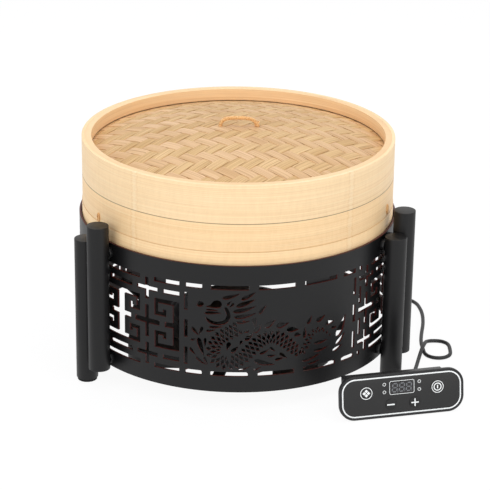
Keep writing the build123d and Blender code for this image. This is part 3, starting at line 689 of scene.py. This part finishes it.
# Spider tray: a flat steel disc on the table with three arms, bent up clear of the table outside
# the heating unit and turned up again inside the drum's wall.
arm_end = 0.1613
arm_half = 0.00625
tray_t = 0.002
arm_profile = [
    (0.055, 0.0), (0.1165, 0.0), (arm_end, 0.0195), (arm_end, 0.032), (arm_end - tray_t, 0.032),
    (arm_end - tray_t, 0.0213), (0.116, tray_t), (0.055, tray_t),
]


def joined(pieces, name):
    """Joins meshes into one piece with this name."""
    alone(pieces[0])
    for piece in pieces:
        piece.select_set(True)
    bpy.ops.object.join()
    return fresh(name)


bpy.ops.mesh.primitive_cylinder_add(vertices=96, radius=0.06, depth=tray_t, location=(0, 0, tray_t / 2))
tray_parts = [bpy.context.object]
for azimuth in (259, 19, 139):
    bpy.ops.mesh.primitive_circle_add(vertices=len(arm_profile), fill_type="NGON")
    arm = bpy.context.object
    for corner, (reach, rise) in zip(arm.data.vertices, arm_profile):
        corner.co = (reach, arm_half, rise)
    edit_all(arm)
    bpy.ops.mesh.extrude_region_move(TRANSFORM_OT_translate={"value": (0, -2 * arm_half, 0)})
    bpy.ops.mesh.select_all(action="SELECT")
    bpy.ops.mesh.normals_make_consistent(inside=False)
    leave_edit()
    arm.data.transform(Matrix.Rotation(math.radians(azimuth), 4, "Z"))
    tray_parts.append(arm)
tray = joined(tray_parts, "tray_with_arms")
round_edges(tray, 0.0004, 2, 40)
smooth(tray)
settle(tray, matt_coat, "base", "spider_tray")

# Power box: a sheet steel box at the unit's front edge, cut back below so that a slanted face
# meets its floor.
power_shell = softened("box_shell", "power_box", "base", 0.0006, 3, matt_coat)
edit_all(power_shell)
bpy.ops.mesh.bisect(
    plane_co=(0, -0.125, 0.0125), plane_no=(0, -0.0105, -0.0275), use_fill=True, clear_outer=True
)
leave_edit()
smooth(power_shell)


# Hot plate: a cast iron disc let into the unit's cover, with turned rings on its face.
def turned_rings(tree, scale, distortion=0.0):
    """Fine rings round the middle, as a lathe leaves them."""
    rings = tree.nodes.new("ShaderNodeTexWave")
    rings.wave_type = "RINGS"
    rings.rings_direction = "Z"
    rings.inputs["Scale"].default_value = scale
    rings.inputs["Distortion"].default_value = distortion
    tree.links.new(place_on_piece(tree), rings.inputs["Vector"])
    return rings.outputs["Fac"]


cast_iron, iron_tree, iron_shader = new_finish("cast_plate", paint(36, 36, 36), 0.6)
relief(iron_tree, iron_shader, turned_rings(iron_tree, 110), 0.0002, 0.6)
uneven(iron_tree, iron_shader, cloud(iron_tree, place_on_piece(iron_tree), 60, 4), 0.45, 0.75)
softened("cast_hot_plate", "hot_plate", "base", 0.0005, 3, cast_iron)

# Water pan: a spun bowl of thin stainless steel, dull, its colour painted darker as shade inside the drum, that
# stands on the hot plate.
# Painted shade: the steel's colour is set dark for the shade inside the drum.
shaded_pan_steel, pan_tree, pan_shader = new_finish("spun_steel_painted_shade", paint(72, 72, 74), 0.4)
pan_shader.inputs["Metallic"].default_value = 1.0
relief(pan_tree, pan_shader, turned_rings(pan_tree, 420, 0.6), 0.00003, 0.5)
uneven(pan_tree, pan_shader, cloud(pan_tree, place_on_piece(pan_tree), 25, 4), 0.2, 0.4)
softened("spun_water_pan", "water_pan", "pan", 0.0003, 2, shaded_pan_steel, angle=25)

# Basket walls: strips of split bamboo bent round and pinned, an outer hoop over a wider band,
# and a thick liner that stands up past them into the lid.
hoop_r = 0.16


def tinted(tree, colour, tint):
    """A colour multiplied by a tint."""
    blend = tree.nodes.new("ShaderNodeMix")
    blend.data_type = "RGBA"
    blend.blend_type = "MULTIPLY"
    blend.inputs["Factor"].default_value = 1.0
    tree.links.new(colour, blend.inputs["A"])
    tree.links.new(tint, blend.inputs["B"])
    return blend.outputs["Result"]


def bamboo(name, pale, mid, deep, stretch, marks=(), edges=()):
    """Split bamboo: long fibre streaks, slow patches, pale bands at its nodes and painted shade lines at the
    seams.
    """
    pale, mid, deep = paint(*pale), paint(*mid), paint(*deep)
    finish, tree, shader = new_finish(name, mid, 0.5)
    streaks = cloud(tree, place_on_piece(tree, stretch), 1.0, 6, 0.65)
    patches = cloud(tree, place_on_piece(tree, tuple(side * 0.22 for side in stretch)), 1.0, 3)
    colour = tinted(
        tree, shades(tree, streaks, [(0.28, deep), (0.5, mid), (0.72, pale)]),
        shades(tree, patches, [(0.3, (0.95, 0.93, 0.9, 1)), (0.7, (1.02, 1.02, 1.02, 1))]),
    )
    if marks:
        spot = tree.nodes.new("ShaderNodeSeparateXYZ")
        tree.links.new(place_on_piece(tree), spot.inputs[0])
        around = reckon(tree, "ARCTAN2", spot.outputs["Y"], spot.outputs["X"])
        sway = spread(tree, cloud(tree, place_on_piece(tree, (90, 90, 420)), 1.0, 3), -0.024, 0.024)
        checks = cloud(tree, place_on_piece(tree, (260, 260, 60)), 1.0, 3, 0.7)
        flecks = [(0.35, (0.975, 0.965, 0.95, 1)), (0.6, (1.01, 1.01, 1.01, 1))]
        colour = tinted(tree, colour, shades(tree, checks, flecks))
        for mark in marks:
            away = reckon(tree, "ABSOLUTE", reckon(tree, "SUBTRACT", around, math.radians(mark)))
            band = shades(tree, reckon(tree, "MULTIPLY", reckon(tree, "ADD", away, sway), 20.0), [
                (0.0, (1.0, 1.03, 1.1, 1)), (0.24, (1.0, 1.02, 1.05, 1)),
                (0.4, (0.95, 0.92, 0.87, 1)), (0.6, (1, 1, 1, 1)),
            ])
            colour = tinted(tree, colour, band)
        # Painted shade: a thin dark line at each given height, standing in for the shade in the seam where two
        # strips meet.
        for edge, depth in edges:
            away = reckon(tree, "ABSOLUTE", reckon(tree, "SUBTRACT", spot.outputs["Z"], edge))
            dark = (depth, depth * 0.92, depth * 0.84, 1)
            near = reckon(tree, "MULTIPLY", away, 400.0)
            line = shades(tree, near, [(0.0, dark), (0.1, dark), (0.22, (1, 1, 1, 1))])
            colour = tinted(tree, colour, line)
    tree.links.new(colour, shader.inputs["Base Color"])
    uneven(tree, shader, streaks, 0.42, 0.6)
    relief(tree, shader, streaks, 0.00012, 0.5)
    return finish


# The last pairs give heights and depths of painted shade lines, at the seam to the lid and at the seam to the
# lower band.
hoop_bamboo = bamboo(
    "hoop_bamboo", (255, 228, 184), (254, 219, 168), (240, 198, 144), (4, 4, 1500),
    (-129.1, -46.2, 20.0, 118.0), ((0.194, 0.35), (0.165, 0.8)),
)
# The last pair gives a painted shade line at the seam to the basket.
lid_bamboo = bamboo(
    "lid_bamboo", (255, 232, 191), (255, 224, 177), (242, 204, 153), (4, 4, 1500),
    (-128.6, -46.0, 64.0, 155.0), ((0.194, 0.35),),
)
liner_bamboo = bamboo("liner_bamboo", (254, 226, 184), (250, 214, 166), (232, 190, 138), (5, 5, 1100))
slat_bamboo = bamboo("slat_bamboo", (240, 205, 156), (230, 188, 134), (200, 150, 96), (420, 6, 420))
rail_bamboo = bamboo("rail_bamboo", (240, 205, 156), (228, 184, 130), (196, 146, 92), (6, 420, 420))


def hoop(name, outer, thickness, low, high, finish, body, node):
    """One bent strip: a ring wall with rounded edges, given its thickness inwards."""
    bpy.ops.mesh.primitive_cylinder_add(
        vertices=180, radius=outer, depth=high - low, end_fill_type="NOTHING", location=(0, 0, (low + high) / 2)
    )
    ring = fresh(name)
    finish_with(ring, "SOLIDIFY", thickness=thickness, offset=-1)
    round_edges(ring, 0.00025, 3)
    smooth(ring, 40)
    settle(ring, finish, body, node)


band_r = hoop_r + 0.0004
low, seam, top = 0.1335, 0.165, 0.194
hoop("basket_outer_hoop", hoop_r, 0.0035, seam, top, hoop_bamboo, "basket", "basket_hoop")
hoop("basket_lower_band", band_r, 0.0039, low, seam, hoop_bamboo, "basket", "basket_band")
hoop("basket_inner_liner", 0.15615, 0.0059, low, 0.202, liner_bamboo, "basket", "basket_liner")
softened("basket_slat_floor", "basket_slats", "basket", 0.0004, 2, slat_bamboo)
softened("basket_cross_rails", "basket_rails", "basket", 0.0006, 2, rail_bamboo)

# Stitches: short loops of split rattan that hold the basket's strips together, at the left and right.
rattan, rattan_tree, rattan_shader = new_finish("wrapped_rattan", paint(240, 190, 126), 0.48)
rattan_fibre = cloud(rattan_tree, place_on_piece(rattan_tree), 600, 4)
rattan_shades = [(0.3, paint(206, 146, 84)), (0.5, paint(238, 186, 122)), (0.7, paint(250, 208, 150))]
rattan_tree.links.new(shades(rattan_tree, rattan_fibre, rattan_shades), rattan_shader.inputs["Base Color"])
relief(rattan_tree, rattan_shader, rattan_fibre, 0.0001, 0.6)

for stitch_name, azimuth, low, high in (
    ("left_stitch", 210.5, 0.1655, 0.1745), ("right_stitch", 340.6, 0.1665, 0.1775),
    ("rear_stitch", 88.0, 0.1655, 0.1755),
):
    route = []
    for turn, out, rise in (
        (-0.2, -0.0022, 0.0), (-0.4, 0.0004, 0.0), (-0.75, 0.0005, 0.5), (-0.2, 0.0005, 1.0),
        (0.6, 0.0005, 0.75), (0.7, 0.0005, 0.3), (0.3, 0.0004, 0.0), (0.1, -0.0022, 0.0),
    ):
        angle = math.radians(azimuth + turn)
        reach = hoop_r + out
        route.append((reach * math.cos(angle), reach * math.sin(angle), low + rise * (high - low)))
    stitch = strand(stitch_name, route, 6, 0.00085, 2)
    alone(stitch)
    bpy.ops.object.convert(target="MESH")
    smooth(stitch, 60)
    settle(stitch, rattan, "basket", None)

# Lid walls: an outer hoop of the same strip, and a short liner above the mat that pins its edge.
hoop("lid_outer_hoop", hoop_r, 0.0035, 0.194, 0.2333, lid_bamboo, "lid", "lid_hoop")
hoop("lid_inner_liner", 0.15645, 0.0062, 0.2207, 0.2333, liner_bamboo, "lid", "lid_liner")
softened("lid_cross_battens", "lid_battens", "lid", 0.0006, 2, rail_bamboo)

# Lid mat: flat bamboo strips woven two over and two under at a slant to the handle, pressed into
# a shallow dome and pinned at its edge under the liner.
mat_r = 0.15625
dome_r = 0.15025
mat_level = 0.2207
mat_rise = 0.021
strip_pitch = 0.0121
strip_w = 0.0114
weave_depth = 0.00055
weave_turn = 5.0

mat_shades = {}
for strip_name, pale, mid, deep in (
    ("along", paint(236, 204, 154), paint(214, 177, 124), paint(172, 128, 80)),
    ("across", paint(236, 201, 158), paint(220, 182, 137), paint(182, 138, 96)),
):
    mat_finish, mat_tree, mat_shader = new_finish("mat_strips_" + strip_name, mid, 0.55)
    uv = mat_tree.nodes.new("ShaderNodeUVMap")
    uv.uv_map = "strip"
    fibre = cloud(mat_tree, scaled(mat_tree, uv.outputs["UV"], (9, 900, 1)), 1.0, 5, 0.6)
    per_strip = cloud(mat_tree, scaled(mat_tree, uv.outputs["UV"], (4, 55, 1)), 1.0, 1)
    strip_tint = shades(mat_tree, per_strip, [
        (0.3, (0.84, 0.77, 0.64, 1)), (0.5, (0.97, 0.96, 0.93, 1)), (0.68, (1.06, 1.07, 1.12, 1)),
    ])
    fibre_colour = shades(mat_tree, fibre, [(0.3, deep), (0.5, mid), (0.7, pale)])
    mat_tree.links.new(tinted(mat_tree, fibre_colour, strip_tint), mat_shader.inputs["Base Color"])
    relief(mat_tree, mat_shader, fibre, 0.00015, 0.5)
    mat_shades[strip_name] = mat_finish


def weave_level(lane, along):
    """One where this strip lies over the others and minus one where it lies under, smoothly between."""
    step = (lane - along / strip_pitch) % 4
    ease = 0.38
    if step < ease:
        return math.sin(step / ease * math.pi / 2)
    if step < 2 - ease:
        return 1.0
    if step < 2 + ease:
        return math.cos((step - 2 + ease) / (2 * ease) * math.pi)
    if step < 4 - ease:
        return -1.0
    return -math.cos((step - 4 + ease) / ease * math.pi / 2)


strip_pieces = []
strip_crown = 0.00018
strip_sink = 0.0016
for family, family_turn, lane_shift, over_shift, way in (
    ("along", 45 + weave_turn, 0.25, 0, -1), ("across", -45 + weave_turn, 0.5, 2.25, 1),
):
    heading = math.radians(family_turn)
    cosine, sine = math.cos(heading), math.sin(heading)
    for lane in range(-13, 14):
        offset = (lane + lane_shift) * strip_pitch
        if abs(offset) - strip_w / 2 > mat_r - 0.003:
            continue
        bpy.ops.mesh.primitive_grid_add(x_subdivisions=168, y_subdivisions=3, size=2)
        strip = bpy.context.object
        uv_layer = strip.data.uv_layers[0]
        uv_layer.name = "strip"
        for corner in strip.data.vertices:
            across = max(-mat_r + 0.0005, min(mat_r - 0.0005, offset + corner.co.y * strip_w / 2))
            along = corner.co.x * math.sqrt(mat_r**2 - across**2)
            level = weave_level(lane + over_shift, way * along)
            crown = strip_crown * (1 - corner.co.y**2)
            x = along * cosine - across * sine
            y = along * sine + across * cosine
            dome = mat_rise * (1 - (x * x + y * y) / dome_r**2)
            corner.co = (x, y, mat_level - strip_sink + dome + level * weave_depth + crown)
        for loop in strip.data.loops:
            spot = strip.data.vertices[loop.vertex_index].co
            along = spot.x * cosine + spot.y * sine
            uv_layer.data[loop.index].uv = (along + lane * 0.37, -spot.x * sine + spot.y * cosine)
        strip.data.materials.append(mat_shades[family])
        strip_pieces.append(strip)
mat = joined(strip_pieces, "woven_lid_mat")
finish_with(mat, "SOLIDIFY", thickness=0.0007, offset=-1)
smooth(mat, 50)
settle(mat, None, "lid", "lid_mat")

# Handle: a bent rattan core wrapped round with split rattan, put through the mat and held below.
handle_span = 0.019
handle_half = [(1, 0.2335), (1, 0.2385), (0.97, 0.2435), (0.78, 0.2478), (0.4, 0.2491)]
handle_path = [(-share * handle_span, 0, height) for share, height in handle_half] + [(0, 0, 0.2492)]
handle_path += [(share * handle_span, 0, height) for share, height in reversed(handle_half)]
core = strand("handle_core", handle_path, 8)
alone(core)
bpy.ops.object.convert(target="MESH")
core_line = [tuple(corner.co) for corner in core.data.vertices]
bpy.data.objects.remove(core)
core_lengths = walked(core_line)
wrap_pieces = []
wrap_pitch = 0.0021
wrap_height = 1.75
for index in range(int(core_lengths[-1] / wrap_pitch)):
    spot, step = place_along(core_line, core_lengths, (index + 0.5) * wrap_pitch)
    bpy.ops.mesh.primitive_torus_add(
        major_segments=20, minor_segments=8, major_radius=0.00135, minor_radius=0.00068, location=(0, 0, 0)
    )
    wrap = bpy.context.object
    for corner in wrap.data.vertices:
        corner.co.z *= wrap_height
    turned = Vector(step).to_track_quat("Z", "Y").to_matrix().to_4x4()
    wrap.data.transform(Matrix.Translation(spot) @ turned @ Matrix.Rotation(math.radians(12), 4, "X"))
    wrap_pieces.append(wrap)
for knot_turn, knot_rise in ((0, 0.0), (35, 0.0012), (-30, 0.0024)):
    bpy.ops.mesh.primitive_torus_add(
        major_segments=24, minor_segments=8, major_radius=0.0023, minor_radius=0.0007, location=(0, 0, 0)
    )
    knot = bpy.context.object
    knot_place = Matrix.Translation((handle_span, 0, mat_level + mat_rise + knot_rise))
    knot.data.transform(knot_place @ Matrix.Rotation(math.radians(knot_turn), 4, "Y"))
    wrap_pieces.append(knot)
handle = joined(wrap_pieces, "rattan_handle")
smooth(handle, 60)
settle(handle, rattan, "lid", "lid_handle")

# Control panel: a shallow plastic case that leans back on its rear box, with a printed film under
# a white border line, four round keys, a three-digit display and four small lamps.
lean = math.atan2(5.3, 31.0)
swing = math.radians(14.4)
across = Vector((math.cos(swing), math.sin(swing), 0))
upward = Vector((-math.sin(lean) * math.sin(swing), math.sin(lean) * math.cos(swing), math.cos(lean)))
outward = Vector((math.sin(swing) * math.cos(lean), -math.cos(swing) * math.cos(lean), math.sin(lean)))
case_wide, case_high, case_deep = 0.128, 0.0444, 0.004
face_mid = Vector((0.1652, -0.1757, case_deep * math.sin(lean))) + upward * (case_high / 2)
panel_frame = Matrix.Translation(face_mid) @ Matrix((across, upward, outward)).transposed().to_4x4()

panel_plastic = coat("case_plastic", paint(38, 38, 39), 0.4, 2400)
film_finish = coat("printed_film", paint(42, 42, 42), 0.5, 3000)
key_finish = coat("key_film", paint(32, 32, 32), 0.4, 3000)
print_white = grained("white_print", paint(250, 253, 252), 0.45, 1800, 0.38, 0.55, 0.00002, 0.4)


def rounded_plate(name, wide, high, corner, low, top, segments=14):
    """A flat plate with round corners, in the panel's own plane, from one depth to another."""
    bpy.ops.mesh.primitive_plane_add(size=1, location=(0, 0, low))
    bpy.context.object.scale = (wide, high, 1)
    plate = fresh(name)
    edit_all(plate)
    bpy.ops.mesh.bevel(offset=corner, offset_type="OFFSET", segments=segments, affect="VERTICES")
    bpy.ops.mesh.select_all(action="SELECT")
    bpy.ops.mesh.extrude_region_move(TRANSFORM_OT_translate={"value": (0, 0, top - low)})
    bpy.ops.mesh.select_all(action="SELECT")
    bpy.ops.mesh.normals_make_consistent(inside=False)
    leave_edit()
    return plate


def on_top(face):
    """Whether a face lies in the panel's front plane and looks forward."""
    return face.normal.z > 0.9 and abs(face.center.z) < 0.00002


def onto_panel(piece, finish, body, node):
    """Puts a finished piece in the panel's place and settles it."""
    piece.data.transform(panel_frame)
    settle(piece, finish, body, node)


groove = 0.0006
case = rounded_plate("panel_case", case_wide, case_high, 0.016, -case_deep, 0.0)
pick(case, on_top)
bpy.ops.mesh.inset(thickness=0.0027, depth=0)
bpy.ops.mesh.extrude_region_move(TRANSFORM_OT_translate={"value": (0, 0, -groove)})
leave_edit()
round_edges(case, 0.0008, 4)
smooth(case)
onto_panel(case, panel_plastic, "base", "panel_bezel")

border = rounded_plate("panel_border_line", 0.1226, 0.039, 0.0133, -groove, 0.0)
pick(border, on_top)
bpy.ops.mesh.inset(thickness=0.0013, depth=0)
bpy.ops.mesh.delete(type="FACE")
leave_edit()
pick(border, lambda face: face.normal.z < -0.9)
bpy.ops.mesh.delete(type="FACE")
leave_edit()
smooth(border)
onto_panel(border, print_white, "base", "panel_line")

film = rounded_plate("panel_face_film", 0.12, 0.0364, 0.012, -groove, -0.00005)
round_edges(film, 0.0001, 2)
smooth(film)
onto_panel(film, film_finish, "base", "panel_film")


# Keys: four round domed buttons of the same film over plastic, each with its sign printed on it:
# a ring with four diamonds, a ring with a bar, a minus and a plus.
def disc(name, radius, place, low, high, soft, segments=3):
    """A round key cap with a softened edge."""
    middle = (*place, (low + high) / 2)
    bpy.ops.mesh.primitive_cylinder_add(vertices=64, radius=radius, depth=high - low, location=middle)
    cap = fresh(name)
    round_edges(cap, soft, segments)
    smooth(cap)
    return cap


def flat_sign(name, outlines, level, thickness=0.00005):
    """A printed sign: closed outlines, filled and holed, given the thickness of ink."""
    sign = flat_sheet(name, outlines)
    sign.data.transform(Matrix.Translation((0, 0, level)))
    if sum(face.normal.z for face in sign.data.polygons) < 0:
        sign.data.flip_normals()
    finish_with(sign, "SOLIDIFY", thickness=thickness, offset=1)
    return sign


def circle(x, y, radius, count, start=0.0, stop=360.0):
    """Points round a circle or an arc."""
    points = []
    for step in range(count if stop - start >= 360 else count + 1):
        turn = math.radians(start + (stop - start) * step / count)
        points.append((x + radius * math.cos(turn), y + radius * math.sin(turn)))
    return points


def bar(wide, high):
    """The four corners of a bar."""
    return [(-wide / 2, -high / 2), (wide / 2, -high / 2), (wide / 2, high / 2), (-wide / 2, high / 2)]


def diamond(x, y, reach):
    """The four corners of a square on its point."""
    return [(x + reach, y), (x, y + reach), (x - reach, y), (x, y - reach)]


key_top = 0.00062
key_ring = [circle(0, 0, 0.0062, 64), circle(0, 0, 0.0055, 64)]
gap, reach = 0.0022, 0.0018
plus_arm, plus_half = 0.0039, 0.15
plus_sign = [(x * plus_arm, y * plus_arm) for x, y in (
    (-1, -plus_half), (-plus_half, -plus_half), (-plus_half, -1), (plus_half, -1), (plus_half, -plus_half),
    (1, -plus_half), (1, plus_half), (plus_half, plus_half), (plus_half, 1), (-plus_half, 1),
    (-plus_half, plus_half), (-1, plus_half),
)]
for key_name, key_place, key_r, key_sign in (
    ("menu", (-0.0367, 0.0045), 0.0067, key_ring + [
        diamond(x, y, reach) for x, y in ((0, gap), (0, -gap), (-gap, 0), (gap, 0))]),
    ("power", (0.0367, 0.0045), 0.0067, key_ring + [
        circle(0, 0, 0.0041, 48), circle(0, 0, 0.0031, 48), bar(0.0012, 0.0036)]),
    ("minus", (-0.0116, -0.0092), 0.00575, [bar(0.0078, 0.0013)]),
    ("plus", (0.0132, -0.0092), 0.00575, [plus_sign]),
):
    cap = disc(key_name + "_key_cap", key_r, key_place, -case_deep, key_top, 0.0005)
    onto_panel(cap, key_finish, key_name + "_button", key_name + "_key")
    outlines = [[(key_place[0] + x, key_place[1] + y) for x, y in outline] for outline in key_sign]
    ink = flat_sign(key_name + "_key_sign", outlines, key_top)
    onto_panel(ink, print_white, key_name + "_button", None)

# Display: a smoked window in a white outline, with three unlit digits and their points behind it.
display_y = 0.0075
window = rounded_plate("display_glass", 0.026, 0.0142, 0.0016, -0.0014, 0.0, 6)
window.data.transform(Matrix.Translation((0, display_y, 0)))
round_edges(window, 0.00015, 2)
smooth(window)
smoked = grained("smoked_window", paint(34, 33, 33), 0.12, 300, 0.08, 0.16)
onto_panel(window, smoked, "base", "display_window")


def rounded(wide, high, corner):
    """Points round the display with round corners."""
    points = []
    for side_x, side_y, start in ((1, 1, 0), (-1, 1, 90), (-1, -1, 180), (1, -1, 270)):
        x, y = side_x * (wide / 2 - corner), display_y + side_y * (high / 2 - corner)
        points += circle(x, y, corner, 6, start, start + 90)
    return points


display_edge = [rounded(0.0256, 0.0138, 0.0018), rounded(0.0247, 0.0129, 0.0014)]
onto_panel(flat_sign("display_outline", display_edge, 0.0), print_white, "base", None)
digit_grey, digit_tree, digit_shader = new_finish("unlit_segments", paint(112, 114, 118), 0.5)
digit_grain = cloud(digit_tree, place_on_piece(digit_tree), 900, 2)
digit_shades = [(0.3, paint(104, 106, 110)), (0.7, paint(122, 124, 128))]
digit_tree.links.new(shades(digit_tree, digit_grain, digit_shades), digit_shader.inputs["Base Color"])
segments = []
digit_h = 0.0082
digit_w = 0.0048
digit_slant = 0.12
thick = 0.0006
for digit_x in (-0.0072, 0.0, 0.0072):
    for x, y, flat in (
        (0, 1, True), (0, 0, True), (0, -1, True), (-1, 0.5, False), (1, 0.5, False), (-1, -0.5, False),
        (1, -0.5, False),
    ):
        half = digit_w / 2 - 0.0005 if flat else digit_h / 4 - 0.0004
        bend = half - thick
        shape = [(-half, 0), (-bend, -thick), (bend, -thick), (half, 0), (bend, thick), (-bend, thick)]
        shape = [(a, b) if flat else (-b, a) for a, b in shape]
        middle_x, middle_y = digit_x + x * digit_w / 2, y * digit_h / 2
        segments.append([
            (middle_x + a + digit_slant * (middle_y + b), display_y + middle_y + b) for a, b in shape
        ])
    segments.append(circle(digit_x + digit_w / 2 + 0.0005, display_y - digit_h / 2, 0.00042, 10))
digits = flat_sign("display_digits", segments, 0.00001, 0.00003)
onto_panel(digits, digit_grey, "base", None)

# Indicator lamps: four small clear domes in white rings, two each side of the display.
lamp_places = [(x, y) for x in (-0.018, 0.018) for y in (0.01165, 0.00375)]
domes = [disc("lamp_dome", 0.0011, place, -case_deep, 0.0002, 0.0005, 4) for place in lamp_places]
lamp_clear = grained("unlit_lamp", paint(70, 68, 66), 0.2, 700, 0.15, 0.3)
onto_panel(joined(domes, "lamp_domes"), lamp_clear, "base", "indicator_lamps")
rings = [circle(x, y, radius, 32) for x, y in lamp_places for radius in (0.0017, 0.00122)]
onto_panel(flat_sign("lamp_ring_prints", rings, 0.0), print_white, "base", None)

# Rear box, spring clips and gland of the panel, and the board, display module and switches that
# stand inside it.
clip_steel, clip_tree, clip_shader = new_finish("spring_clip_steel", paint(196, 198, 200), 0.42)
clip_shader.inputs["Metallic"].default_value = 0.45
clip_brush = cloud(clip_tree, place_on_piece(clip_tree, (60, 1400, 1400)), 1.0, 3)
uneven(clip_tree, clip_shader, clip_brush, 0.28, 0.45)
relief(clip_tree, clip_shader, clip_brush, 0.00003, 0.4)
board_green = coat("board_green", paint(30, 92, 52), 0.45, 900)
switch_black = coat("switch_black", paint(28, 28, 28), 0.5, 1500)
for name, node, width, segments, finish, slot_name in (
    ("panel_rear_box", "panel_box", 0.0006, 3, panel_plastic, "panel_plastic"),
    ("panel_spring_clips", "panel_clips", 0.0002, 2, clip_steel, "clip_steel"),
    ("panel_cord_bush", "panel_gland", 0.0005, 2, rubber, "black_rubber"),
    ("panel_circuit_board", "circuit_board", 0.0001, 1, board_green, "board"),
    ("panel_key_switches", "key_switches", 0.0003, 2, switch_black, "switch"),
    ("panel_display_block", "display_module", 0.0003, 2, switch_black, "module"),
):
    softened(name, node, "base", width, segments, finish)
